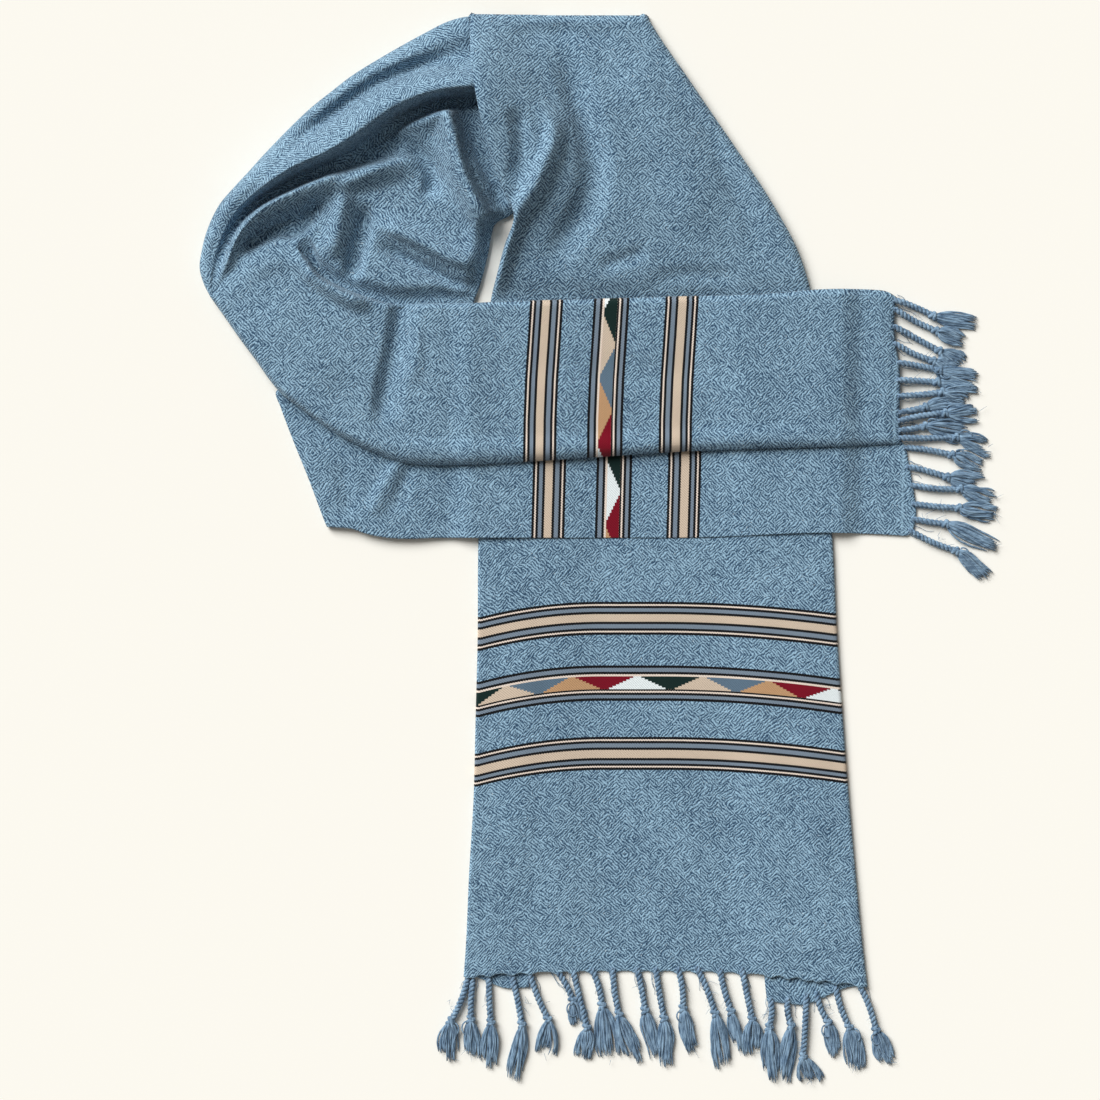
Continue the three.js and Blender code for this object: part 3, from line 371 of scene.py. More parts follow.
NECK_RISES = (204.3, 255.5)  # from below and from the top fold, where it does so
NECK_SINKS = (338.7, 313.1)
NECK_RIGHT_SIDE = 6.5
NECK_CORNER = (21.4, 24.6)  # where its top right corner is kept off the floor
NECK_FOLDS = [
    # long crease that leaves the edge and climbs into the panel
    ([(-70.2, 157), (-65.7, 176.2), (-60.6, 194.1), (-53.5, 213.3), (-42.6, 229.9), (-35, 246.6),
      (-30.5, 258.1), (-31.1, 269.6), (-36.9, 277.9), (-46.5, 283.7)], 9.5, 9, 11, 0.2, 0.1),
    # hollow beside it
    ([(-26, 325.9), (-18.3, 297.1), (-10.6, 271.5), (-5.5, 245.9), (-9.4, 222.2), (-22.2, 199.2),
      (-35.6, 175.5)], -7, 16, 13, 0.2, 0),
    # dip between the crease and the panel's edge
    ([(-56.7, 282.4), (-51.6, 265.1), (-51.6, 245.9), (-56.7, 229.9)], -4.5, 9, 9, 0, 0),
    # broad swell on the right
    ([(6, 313.1), (38, 274.7), (57.2, 236.3), (66.8, 197.9)], 4, 26, 26, 0, 0),
    # faint dips above the crossing
    ([(-3, 180), (15.6, 185.1), (31.6, 191.5)], -2.2, 8, 8, 0, 0),
    ([(25.2, 169.1), (57.2, 174.9), (92.4, 172.3)], -1.8, 9, 9, 0, 0),
    # soft dip under the top fold
    ([(-64.4, 325.9), (-26, 329.8), (18.8, 325.9)], -1.5, 8, 12, 0, 0),
    # shallow wave on the right side
    ([(63.6, 274.7), (86, 229.9), (105.2, 183.8)], -1.6, 13, 11, 0, 0),
]
neck_folds = fold_field(NECK_FOLDS)
neck_unevenness = waviness(55, 5)
TOP_ROUND = 6  # how far the top fold rounds off


def neck_height(across, x, y):
    """Upper face of the neck panel at a share across it."""
    left = mix(neck_left_high(y), neck_middle_high(y), ease(0, NECK_MIDDLE, across))
    right = mix(neck_middle_high(y), neck_right_high(y), ease(NECK_MIDDLE, 0.95, across))
    base = np.where(across < NECK_MIDDLE, left, right)
    free = np.maximum(base + neck_folds(x, y) + 0.35 * neck_unevenness(x, y), 2 * WALL)
    return mix(panel_height(across), free, ease(*NECK_PUFF, y))


def tail_across(x, y):
    """Share across the tail or the neck panel, whichever lies at a place."""
    left = np.where(y < NECK_BOTTOM, tail_left(y), neck_left(y))
    right = np.where(y < NECK_BOTTOM, tail_right(y), neck_right(y))
    return np.clip((x - left) / (right - left), 0, 1)


def neck_underside(x, y):
    """Height that the heap under the panel must keep below, far above where there is no panel."""
    across = (x - neck_left(y)) / (neck_right(y) - neck_left(y))
    high = neck_height(np.clip(across, 0, 1), x, y) - 2 * WALL - AIR - 1.4
    covered = (y > HEAP_FROM) & (y < NECK_TOP) & (across > -0.01)
    return np.where(covered, high, 1e3)


# Loop: thick roll, drape and the crossing end, one cloth

OUTER_EDGE = [
    (-61.2, 338.7), (-82.3, 340.6), (-97, 337.4), (-112.4, 329.8), (-126.5, 322.1),
    (-139.9, 314.4), (-158.5, 302.9), (-171.9, 292.6), (-184.7, 282.4), (-195.6, 272.2),
    (-205.8, 261.9), (-215.4, 251.7), (-224.4, 241.4), (-234, 231.2), (-243, 221), (-248.7, 210.7),
    (-252.6, 200.5), (-255.1, 190.2), (-256.4, 180), (-253.8, 169.8), (-249.4, 161.1),
]
VALLEY = [
    (-44.6, 279.2), (-62.5, 283), (-79.8, 285), (-102.8, 282.4), (-125.2, 273.4), (-144.4, 259.4),
    (-166.8, 245.9), (-192.4, 234.7), (-216.7, 222.2), (-230.2, 210.1), (-238.5, 196),
    (-243.6, 182.6), (-247.4, 169.1), (-247.8, 161.8),
]
ROLL_FOLDS = [
    # crest beside the dark valley
    ([(-61.2, 295.8), (-83, 293.9), (-109.2, 289.4), (-130.3, 281.8), (-152.1, 267),
      (-166.2, 256.2), (-180.9, 247.8), (-195, 240.8), (-216.7, 228.6), (-232.1, 215.2),
      (-239.8, 200.5)], 18, 9, 24, 1, 0.15),
    # low outer crest
    ([(-84.9, 328.5), (-109.2, 319.5), (-134.8, 308), (-163.6, 291.4), (-193.7, 265.8),
      (-216.7, 245.3), (-235.9, 222.2), (-247.4, 197.9)], 4, 9, 9, 0.4, 0.4),
    # soft groove between the crests
    ([(-88.7, 314.4), (-115.6, 308), (-146.3, 295.2), (-176.4, 274.7), (-205.2, 254.2)], -5, 8, 8,
      0, 0),
]
DRAPE_TUCKED = [
    (-195, 193.4), (-189.8, 188.6), (-185.4, 181.9), (-180.9, 171), (-166.2, 161.4), (-146.3, 155),
    (-131, 151.8), (-109.2, 152.5), (-81, 152.5),
]
DRAPE_SELVEDGE = [
    (-81, 152.5), (-81, 157.6), (-77.2, 168.5), (-74, 180), (-71.4, 191.5), (-69.8, 200.5),
    (-67, 208.2), (-58, 213.3), (-49, 221.6), (-43.9, 236.3), (-44.6, 279.2),
]
DRAPE_FOLDS = [
    # crest along the dark valley
    ([(-247.4, 168.5), (-242.3, 187.7), (-234, 201.8), (-219.3, 215.2), (-200.1, 226.1),
      (-176.4, 234.4), (-154, 240.8), (-133.5, 245.3), (-118.2, 247.2), (-108.6, 242.7)], 12, 6, 15,
      0.3, 0),
    # tall fold that stands against the neck panel
    ([(-122, 274.1), (-109.2, 277.9), (-99, 278.6), (-94.5, 268.3), (-91.3, 254.2), (-86.8, 238.9),
      (-79.8, 223.5), (-72.7, 209.4), (-71.4, 194.1)], 17, 6, 17, 0.4, 0.25),
    # dark floor between the roll and the drape
    ([(-176.4, 237.6), (-163.6, 242.7), (-147.6, 251), (-133.5, 258.7), (-124.6, 265.1)], -9, 8, 12,
      0, 0.4),
    # its dark flank
    ([(-127.1, 260.6), (-114.3, 250.4), (-107.9, 237.6), (-110.5, 221)], -7, 10, 8, 0, 0),
    # hollow before the turned corner
    ([(-230.8, 187.7), (-219.3, 197.9), (-203.9, 205.6), (-189.2, 210.7)], -10, 10, 10, 0.3, 0.3),
    # short crest coming down from the long one
    ([(-161, 234.4), (-164.9, 219.7), (-168.7, 200.5), (-173.2, 181.3)], 7, 10, 11, 0, 0),
    # hollow beside it
    ([(-148.9, 223.5), (-152.1, 203), (-157.2, 183.8), (-160.4, 167.2)], -9, 9, 9, 0, 0),
    # shaded dip under the long crest
    ([(-177, 224.8), (-185.4, 212.6), (-195, 203), (-205.2, 197.3)], -7, 8, 8, 0, 0),
    # slanting crest above the selvedge
    ([(-146.3, 208.2), (-129.7, 201.8), (-110.5, 192.8), (-92.6, 183.8), (-75.9, 180)], 8, 14, 6, 0,
      0.6),
    # sharp valley under it
    ([(-145, 197.9), (-128.4, 187.7), (-109.2, 178.1), (-93.2, 170.4), (-77.2, 166.6)], -7, 6, 7, 0,
      0.7),
    # low lit fold in the shade of the neck panel
    ([(-86.2, 249.1), (-75.9, 237.6), (-65.7, 224.8)], 3, 6, 6, 0, 0),
    # shaded floor of the drape beside the neck panel
    ([(-86.2, 279.8), (-79.8, 261.9), (-74.6, 245.9), (-65.7, 226.1), (-59.3, 213.3)], -9, 12, 8,
      0.8, 0.6),
]
TURN_SEAM = [(-247.8, 161.8), (-240.4, 170.4), (-227.6, 181.6), (-210.3, 190.2), (-195, 193.4)]
# Share along the seam, and the cloth's height there
TURN_ROWS = [(0, 9), (0.3, 11), (0.6, 13.5), (1, 14)]
# Share along the valley from the neck, and the valley's height
VALLEY_ROWS = [(0, 2.5), (0.2, 3), (0.5, 4), (0.7, 5.5), (0.85, 8), (1, 9)]
CROSS_CLIMB = (-99, -81)  # where the crossing end climbs on the tail
CROSS_DROP = (168.6, 151.9)  # and where it comes down again
TURN_ENDS = -163.6  # the left turn's heights hold up to here
CROSS_TOP_EDGE = [
    (-195, 193.4), (-187.3, 185.8), (-179.6, 175.5), (-163.6, 166.6), (-146.3, 160.2),
    (-131, 156.6), (-109.2, 157.3), (-76.6, 157.3), (-43.9, 158.2), (-3.6, 159.5), (40.6, 160.8),
    (102, 162.4), (140.4, 165.3), (172.4, 165.3), (182.6, 164), (189, 160.2),
]
CROSS_FOLD_EDGE = [
    (-249.4, 161.1), (-241, 149.3), (-230.2, 133.9), (-220.6, 121.1), (-211.6, 108.3),
    (-203.3, 98.7), (-189.8, 88.5), (-173.2, 76.3), (-154.6, 66.1), (-141.2, 60.3), (-129.7, 55.8),
    (-113.7, 53.9), (-84.2, 53.9), (-47.8, 55.8), (1.5, 59), (38, 61.6), (100.7, 64.2),
    (146.8, 65.4), (192.2, 67.4),
]
CROSS_HEM = [
    (192.2, 67.4), (191, 86.6), (191.6, 101.9), (191, 117.9), (188.4, 133.3), (187.8, 148.6),
    (189, 160.2),
]
# Place across the picture, and the thickness of the folded end
CROSS_ROWS = [
    (-248.1, 8), (-224.4, 13), (-192.4, 15), (-160.4, 14.5), (-128.4, 12.5), (-96.4, 11.5),
    (-86.8, 9.8), (-74, 8), (-0.4, 7), (63.6, 6.6), (153.2, 6.3), (192.2, 5.6),
]
CROSS_FOLDS = [
    # tongue over the drape
    ([(-192.4, 183.8), (-182.8, 174.2), (-166.8, 163.4), (-144.4, 154.4)], 6.5, 7, 9, 0.5, 0),
    # shallow trough where the turn ends
    ([(-128.4, 153.1), (-132.2, 127.5), (-138.6, 98.7), (-139.9, 75)], -6, 16, 9, 1, 0),
    # low swell after it
    ([(-122, 150.6), (-118.2, 130.7), (-121.4, 101.9)], 1.7, 9, 9, 0.6, 0),
    # roundness of the folded edge
    ([(-192.4, 95.5), (-163.6, 77.6), (-134.8, 66.1), (-96.4, 62.9), (-38.8, 64.2), (63.6, 69.9),
      (166, 73.8)], 2, 10, 9, 0, 0.2),
    # flat stretch above it
    ([(-77.2, 121.1), (12.4, 113.4), (102, 117.3)], -1, 16, 16, 0, 0),
    # broad light swell of the turn
    ([(-216.7, 159.5), (-192.4, 130.7), (-163.6, 100.6)], 1.6, 16, 16, 0.2, 0),
]
roll_folds, drape_folds, cross_folds = map(fold_field, (ROLL_FOLDS, DRAPE_FOLDS, CROSS_FOLDS))
cross_thick, turn_high, valley_high = (
    column(rows, 1) for rows in (CROSS_ROWS, TURN_ROWS, VALLEY_ROWS)
)
outer_line, valley_line, seam_line = map(line_through, (OUTER_EDGE, VALLEY, TURN_SEAM))
tucked_line, selvedge_line = map(line_through, (DRAPE_TUCKED, DRAPE_SELVEDGE))
top_line, fold_line, cross_hem_line = map(
    line_through, (CROSS_TOP_EDGE, CROSS_FOLD_EDGE, CROSS_HEM)
)
loop_unevenness = waviness(42, 9)
SEAM_PATH = seam_line(np.linspace(0, 1, 30))
VALLEY_PATH = valley_line(np.linspace(0, 1, 60))
SEAM_RISE = 0.3  # slope of the cloth where it runs over the turn
SEAM_REACH = 17
HOLLOW_REACH = 9  # the same on the drape's side, where a hollow meets the turn
WEAVE_HEM = 188.7  # the crossing end's hem, from which its bands are measured
WEAVE_TOP = 151.2  # where its weave starts across
WEAVE_HELD = -77.2  # right of this its weave lies as seen from above
ROLL_FAR = 700  # the roll is too far from the hem for any band
ROLL_HIGH = (9, 12)  # height before its folds, where the roll is narrow and where it is wide
ROLL_WIDE = 28
DRAPE_HIGH = 12  # height of the drape before its folds
DRAPE_LOW = 4  # height of its deepest hollow
PRESSED_HIGH = 4.6  # height where the crossing end presses the drape down
PRESSED_FROM = (-194.3, -182.2)  # where that starts and where it ends, across the picture
PRESSED_TO = (-69.5, -75.9)
SELVEDGE_HIGH = 3.2  # greatest height along the drape's selvedge
SEAM_SHARE = 0.36  # share of the drape's lower line that is the seam into the turn
TIP_SHARE = 0.16  # share of the upper edge that is the crossing end's tongue
FOLD_SHARES = (0.135, 0.285)  # shares of the folded edge that face the ends of seam and tongue
HEM_HIGH = 3.4  # height of the crossing end's hem over what it lies on


def bed_height(x, y):
    """Top of the tail under the crossing end."""
    on_tail = ease(*CROSS_CLIMB, x) * ease(*CROSS_DROP, x)
    return on_tail * (panel_height(tail_across(x, y)) + AIR)


def towards_turn(x, y, free, side):
    """Heights on both sides of the turn seam run into each other."""
    distance, share, _ = nearest(SEAM_PATH, x, y)
    reach = SEAM_REACH if side > 0 else HOLLOW_REACH
    level = turn_high(share) + side * SEAM_RISE * np.minimum(distance, reach)
    return mix(level, free, ease(0, reach, distance))


# Turns of the cloth in a rounded edge, from below it up to its top
TURNS = np.radians([-64, -40, -18, 0, 13, 27, 41, 55, 68, 80])


def ruled(first, second, radius_first, radius_second, count):
    """Rows from one line to another. Each row is (plan points, turn at the first, turn at the second).

    A turn is an angle in the rounded edge: a right angle where the cloth lies free, less inside.
    """
    width = np.linalg.norm(second - first, axis=-1)
    along = (second - first) / np.maximum(width, 1e-6)[:, None]
    radius_a = np.minimum(radius_first, 0.45 * width)
    radius_b = np.minimum(radius_second, 0.45 * width)
    rows = []
    right = math.pi / 2
    for turn in TURNS:
        inset = radius_a * (1 - math.cos(turn))
        rows.append((first + along * inset[:, None], turn, right))
    for share in np.linspace(0, 1, count):
        inset = radius_a + (width - radius_a - radius_b) * share
        rows.append((first + along * inset[:, None], right, right))
    for turn in TURNS[::-1]:
        inset = radius_b * (1 - math.cos(turn))
        rows.append((second - along * inset[:, None], right, turn))
    return rows


def edge_height(turn, high, middle, low):
    """Height in a rounded edge, at a turn of the cloth."""
    rise = np.sin(turn)
    return middle + np.where(rise >= 0, high - middle, middle - low) * rise


def patch(low, high, start, end, share):
    """Plan points between two lines along a sheet and a line at each of its ends."""
    share = share[:, None]
    rows = []
    for k, t in enumerate(np.linspace(0, 1, len(start))):
        corners = mix(mix(start[0], end[0], share), mix(start[-1], end[-1], share), t)
        rows.append(mix(low, high, t) + mix(start[k], end[k], share) - corners)
    return np.array(rows)


def build_tail(sizes, material):
    """Lower tail, row by row from under its left side over the top and under its right side."""
    outward = WALL / 2
    stations = [("under", "left", s) for s in np.linspace(1, 0.02, 22)]
    stations += [("turn", "left", s) for s in np.linspace(0, 1, 9)[1:-1]]
    stations += [("top", "", s) for s in np.linspace(0, 1, 131)]
    stations += [("turn", "right", s) for s in np.linspace(1, 0, 9)[1:-1]]
    stations += [("under", "right", s) for s in np.linspace(0.02, 1, 32)]
    rows = np.concatenate([[0, 1.2, 2.5, 4], np.linspace(6, TAIL_END - HEM_Y, 128)]) + HEM_Y
    places = np.zeros((len(rows), len(stations), 3))
    cloth = np.zeros((len(rows), len(stations), 2))
    left, right = tail_left(rows), tail_right(rows)
    roots = np.array([tassel[0][0] for tassel in LOWER_TASSELS])
    for k, (layer, side, across) in enumerate(stations):
        on_right = side == "right"
        edge = right if on_right else left
        towards = -1 if on_right else 1
        share = across if layer == "top" else float(on_right)
        sag = tail_left_sag(rows) * np.clip(1 - share / 0.34, 0, 1) ** 2
        sag = sag + tail_right_sag(rows) * np.clip((share - 0.5) / 0.5, 0, 1) ** 2
        y = rows - sag
        if layer == "top":
            x = mix(left + TURN, right - TURN, across)
            swell = tail_folds(x, y) + 0.22 * tail_unevenness(x, y)
            inside = np.minimum(ease(0, 0.05, across), ease(1, 0.95, across))
            z = panel_height(across) + np.maximum(swell, -0.1) * inside
            gap = np.abs(x[0] - roots).min()
            pull = HEM_PULL * math.exp(-((gap / 3.0) ** 2)) - 1.0
            y = y - pull * ease(HEM_Y + 9, HEM_Y, rows)
            u = x - CLOTH_LEFT
        elif layer == "turn":
            angle = math.pi * across
            x = edge + towards * (TURN - math.sin(angle) * (TURN + outward))
            z = max(WALL / 2 + TURN - math.cos(angle) * (TURN + outward), LIFT)
            u = edge - CLOTH_LEFT + towards * SIDE_WIDTH * (across - 1)
        else:
            tuck, peek = (RIGHT_TUCK, RIGHT_PEEK) if on_right else (LEFT_TUCK, LEFT_PEEK)
            askew = -peek * ease(0.05, 0.7, across) * ease(HEM_Y + 60, HEM_Y, rows)
            x = edge + towards * (TURN + (tuck - TURN) * across)
            y = rows - sag * (1 - 0.8 * across) + askew
            z = LIFT
            u = edge - CLOTH_LEFT - towards * (SIDE_WIDTH + tuck * across)
        places[:, k] = np.stack([x, y, np.broadcast_to(z, rows.shape)], axis=-1)
        cloth[:, k] = np.stack([np.broadcast_to(u, rows.shape), rows - HEM_Y], axis=-1)
    return cloth_object("tail_cloth", [(places, cloth)], material, sizes.wall, ["lower_tail"])


def build_neck(sizes, material):
    """Neck panel, rounded off at both sides and over the top fold."""
    low_part = np.linspace(NECK_BOTTOM, NECK_DENSE, 12)[:-1]
    flat = np.concatenate([low_part, np.linspace(NECK_DENSE, NECK_TOP - TOP_ROUND, 92)])
    over = TURNS[::-1]
    y = np.concatenate([flat, NECK_TOP - TOP_ROUND * (1 - np.cos(over))])
    ends = np.concatenate([np.full(len(flat), math.pi / 2), over])
    reach = np.minimum(y, NECK_TOP - 0.01)
    first = np.stack([neck_left(reach), y], axis=-1)
    second = np.stack([neck_right(reach), y], axis=-1)
    left_radius = NECK_SIDE + NECK_SIDE_MORE * ease(*NECK_RISES, y) * ease(*NECK_SINKS, y)
    right_radius = np.full(len(y), NECK_RIGHT_SIDE)
    places = []
    for place, turn_left, turn_right in ruled(first, second, left_radius, right_radius, 96):
        x = place[:, 0]
        across = np.clip((x - first[:, 0]) / (second[:, 0] - first[:, 0]), 0, 1)
        high = neck_height(across, x, reach)
        heap = 1 - ease(HEAP_WIDTH, HEAP_WIDTH + 12, x - first[:, 0])
        low = heap * ease(*HEAP_STARTS, y) * np.maximum(high - 2 * WALL - AIR, 0) + LIFT
        middle = mix(low, high, 0.45)
        z = high
        for turn in (turn_left, turn_right, ends):
            z = np.minimum(z, edge_height(turn, high, middle, low))
        top_corner = ease(*NECK_CORNER, x) * ease(NECK_TOP - 6, NECK_TOP - 3, y)
        lowest = LIFT + WALL * top_corner
        places.append(np.stack([x, y, np.maximum(z, lowest)], axis=-1))
    places = np.array(places).transpose(1, 0, 2)
    cloth = np.stack([places[..., 0] - CLOTH_LEFT, places[..., 1] - HEM_Y], axis=-1)
    return cloth_object("neck_cloth", [(places, cloth)], material, sizes.wall, ["neck_panel"])


def roll_places(t, count):
    """Rows of the roll from its rounded outer edge to the valley, at shares of its length."""
    first = outer_line(t)
    second = valley_line(t)
    width = np.linalg.norm(second - first, axis=-1)
    rows = []
    edges = ruled(first, second, np.minimum(9, 0.5 * width), np.zeros(len(t)), count)
    for place, turn, _ in edges[: len(TURNS) + count]:
        x, y = place[:, 0], place[:, 1]
        wide = ease(0, ROLL_WIDE, width)
        free = mix(*ROLL_HIGH, wide) + roll_folds(x, y) * mix(0.4, 1, wide)
        free = free + 0.5 * loop_unevenness(x, y)
        free = np.minimum(free, neck_underside(x, y))
        inner = np.linalg.norm(second - place, axis=-1)
        reach = np.clip(0.3 * width, 1, 9)
        shoulder = ease(0.35, 1.05, inner / reach)
        high = mix(np.minimum(valley_high(t), free), free, shoulder)
        z = edge_height(turn, high, 0.45 * high, LIFT)
        rows.append(np.stack([x, y, z], axis=-1))
    return np.array(rows)


def drape_shares(seam_columns, tucked_columns):
    """Shares along the drape: the seam first, then the edge tucked under the crossing."""
    seam = np.linspace(0, SEAM_SHARE, seam_columns)
    return np.concatenate([seam, np.linspace(SEAM_SHARE, 1, tucked_columns)[1:]])


def drape_places(seam_columns, tucked_columns, count):
    """Rows of the drape from the seam and the tucked edge up to the valley."""
    share = drape_shares(seam_columns, tucked_columns)
    low = np.vstack([
        seam_line(np.linspace(0, 1, seam_columns)),
        tucked_line(np.linspace(0, 1, tucked_columns))[1:],
    ])
    high = valley_line(1 - share)
    start = np.repeat(low[:1], count, axis=0)
    end = selvedge_line(np.linspace(0, 1, count))
    plan = patch(low, high, start, end, share)
    x, y = plan[..., 0], plan[..., 1]
    selvedge = np.linalg.norm(plan - plan[:, -1:], axis=-1)
    valley, valley_share, _ = nearest(VALLEY_PATH, x, y)
    tucked = np.linalg.norm(plan - plan[:1], axis=-1)
    free = np.maximum(DRAPE_HIGH + drape_folds(x, y) + 0.5 * loop_unevenness(x, y), DRAPE_LOW)
    free = towards_turn(x, y, free, -1)
    pressed = ease(17, 8, tucked) * ease(*PRESSED_FROM, x) * ease(*PRESSED_TO, x)
    z = np.minimum(mix(free, PRESSED_HIGH, pressed), neck_underside(x, y))
    z = mix(np.minimum(valley_high(valley_share), z), z, ease(0.5, 6, valley))
    z = mix(np.minimum(SELVEDGE_HIGH, z), z, ease(0, 12, selvedge) ** 0.8)
    z[0, :seam_columns] = turn_high(np.linspace(0, 1, seam_columns))
    return np.dstack([plan, np.maximum(z, WALL)])


def cross_places(seam_columns, tip_columns, end_columns, count):
    """Columns between the folded lower edge and the seam, then the free upper edge."""
    columns = seam_columns + tip_columns + end_columns - 2
    tip = np.linspace(0, TIP_SHARE, tip_columns)
    end = np.linspace(TIP_SHARE, 1, end_columns)
    seam = seam_line(np.linspace(0, 1, seam_columns))
    top = np.vstack([seam, top_line(np.concatenate([tip, end[1:]]))[1:]])
    turn_part = np.linspace(0, FOLD_SHARES[0], seam_columns)
    tip_part = np.linspace(*FOLD_SHARES, tip_columns)
    end_part = np.linspace(FOLD_SHARES[1], 1, end_columns)
    fold = fold_line(np.concatenate([turn_part, tip_part[1:], end_part[1:]]))
    free_edge = ease(0, 9, np.arange(columns) - seam_columns + 1)
    near_end = ease(columns - 36, columns - 1, np.arange(columns))
    (low_x, low_y), (high_x, high_y) = CROSS_HEM[0], CROSS_HEM[-1]
    rows = []
    for place, turn, top_turn in ruled(fold, top, np.full(columns, 5.0), 4.2 * free_edge, count):
        x, y = place[:, 0], place[:, 1]
        up = np.clip((y - low_y) / (high_y - low_y), 0, 1)
        x = x + near_end * (cross_hem_line(up)[:, 0] - mix(low_x, high_x, up))
        bed = bed_height(x, y)
        thick = cross_thick(x)
        free = bed + thick + cross_folds(x, y) + 0.3 * loop_unevenness(x, y)
        free = np.where(x < TURN_ENDS, towards_turn(x, y, free, 1), free)
        hem = np.hypot(x - x[-1], y - y[-1])
        free = mix(bed + HEM_HIGH, free, np.sqrt(np.clip(hem / 9, 0, 1)))
        z = edge_height(turn, free, bed + 0.45 * thick, bed + 0.6)
        if top_turn < math.pi / 2 - 1e-6:
            lip = bed + 0.5 * thick
            z = mix(free, edge_height(top_turn, free, lip, (lip + bed + 4.5) / 2), free_edge)
            z[:seam_columns] = turn_high(np.linspace(0, 1, seam_columns))
        rows.append(np.stack([x, y, np.maximum(z, bed + LIFT)], axis=-1))
    return np.array(rows)


def band_lean(y):
    """How far the bands of the crossing end lean from upright, at a height in the picture."""
    return np.interp(y, [57.1, 82.7, 108.3, 132.6, 157.6], [-1.3, -1, 0, 1.6, 3.2])


def build_loop(sizes, material):
    """Roll, drape and crossing end, joined where the cloth runs on."""
    seam_columns, tucked_columns, tip_columns, end_columns = 47, 84, 60, 220
    count = 50
    turns = len(TURNS)
    share = drape_shares(seam_columns, tucked_columns)
    drape = drape_places(seam_columns, tucked_columns, 74)
    roll = roll_places(1 - share[::-1], count)
    cross = cross_places(seam_columns, tip_columns, end_columns, count)
    # One line of points wherever two stretches meet
    roll[:, -1] = cross[: turns + count, 0]
    drape[-1] = roll[-1, ::-1]
    drape[:, 0] = drape[-1, 0]
    cross[-turns - 1 :, :seam_columns] = drape[0, :seam_columns]
    crossing = plan_cloth(cross)
    crossing = settle(cross, crossing, cross[..., 0] > WEAVE_HELD, 500)
    draped = plan_cloth(drape)
    draped[0, :seam_columns] = crossing[-turns - 1, :seam_columns]
    held = np.zeros(draped.shape[:2], bool)
    held[0, :seam_columns] = True
    draped = settle(drape, draped, held, 700)
    grids = [(roll, rolled_cloth(roll)), (drape, draped), (cross, crossing)]
    nodes = ["loop_roll", "loop_drape", "cross_top"]
    return cloth_object("loop_cloth", grids, material, sizes.wall, nodes)


def plan_cloth(places):
    """Cloth coordinates as seen from above, across the crossing end and back from its hem."""
    x, y = places[..., 0], places[..., 1]
    return np.stack([WEAVE_TOP - y, x - band_lean(y) - WEAVE_HEM], axis=-1)


def rolled_cloth(places):
    """Cloth coordinates that run round the roll and along it."""
    across = np.linalg.norm(np.diff(places, axis=0), axis=-1)
    along = np.linalg.norm(np.diff(places, axis=1), axis=-1).mean(axis=0)
    u = np.vstack([np.zeros(places.shape[1]), np.cumsum(across, axis=0)])
    v = np.concatenate([[0], np.cumsum(along)]) - ROLL_FAR
    return np.stack([u, np.broadcast_to(v, u.shape)], axis=-1)


def settle(places, cloth, held, rounds):
    """Relaxes a flat layout until neighbouring points are as far apart as on the laid cloth."""
    rows, columns = places.shape[:2]
    spans = []
    for down, right in ((0, 1), (1, 0), (1, 1), (1, -1)):
        first = (slice(0, rows - down), slice(1, columns) if right < 0 else slice(0, columns - right))
        second = (slice(down, rows), slice(0, columns - 1) if right < 0 else slice(right, columns))
        spans.append((first, second, np.linalg.norm(places[second] - places[first], axis=-1)))
    cloth = cloth.copy()
    for _ in range(rounds):
        push = np.zeros(cloth.shape)
        for first, second, long in spans:
            gap = cloth[second] - cloth[first]
            now = np.maximum(np.linalg.norm(gap, axis=-1), 1e-6)
            move = gap * ((1 - long / now) * 0.5)[..., None]
            push[first] += move
            push[second] -= move
        push[held] = 0
        cloth += push / 4.5
    return cloth


# Crossing end, under layer

UNDER_SELVEDGE = [
    (-175.1, 14.2), (-159.1, 13), (-149.5, 9.8), (-138, 7.5), (-122, 6.6), (-106.6, 7.2),
    (-77.2, 7.2), (-0.4, 7.2), (63.6, 7.5), (137.8, 10.4), (172.4, 9.8), (195.4, 8.5),
]
UNDER_TUCKED = [
    (-202, 104.5), (-192.4, 96.8), (-173.2, 84.6), (-154.6, 74.4), (-141.2, 68.6), (-129.7, 64.2),
    (-113.7, 62.2), (-84.2, 62.2), (-47.8, 64.2), (1.5, 67.4), (38, 69.9), (100.7, 72.5),
    (146.8, 73.1), (190.3, 72.5),
]
UNDER_FOLD = [
    (-175.1, 14.2), (-177, 18.7), (-186.6, 44.3), (-196.9, 69.9), (-204.6, 90.4), (-207.8, 100.6),
    (-202, 104.5),
]
UNDER_HEM = [
    (195.4, 8.5), (199.3, 11), (200.9, 15.5), (201.8, 24.5), (199.9, 39.8), (196.7, 57.1),
    (195.4, 64.2), (190.3, 72.5),
]
# Place across the picture, and the layer's thickness
UNDER_ROWS = [(-210.3, 4), (-102.8, 4), (-83.6, 2.4), (-70.8, WALL), (201.8, WALL)]
UNDER_FOLDS = [
    # crease that runs down from the fold above
    ([(-129.7, 55.8), (-136.1, 44.3), (-143.1, 31.5), (-146.3, 18.7)], 2.6, 10, 7, 1, 0),
    # hollow beside it
    ([(-123.3, 52), (-127.1, 36.6), (-131, 21.9)], -1.3, 8, 7, 0.5, 0),
    # soft swell beside the folded side
    ([(-192.4, 79.5), (-178.3, 50.7), (-166.8, 25.1)], 0.9, 8, 10, 0.3, 0),
    # dip where the layer bends down from the tail
    ([(-159.1, 18.7), (-161.7, 37.9), (-166.8, 57.1)], -1.6, 9, 9, 0, 0.3),
]
under_thick = column(UNDER_ROWS, 1)
under_folds = fold_field(UNDER_FOLDS)
under_unevenness = waviness(60, 21)
under_selvedge_line, under_tucked_line, under_fold_line, under_hem_line = map(
    line_through, (UNDER_SELVEDGE, UNDER_TUCKED, UNDER_FOLD, UNDER_HEM)
)
UNDER_LENGTH = 400  # its length along the selvedge, in round figures
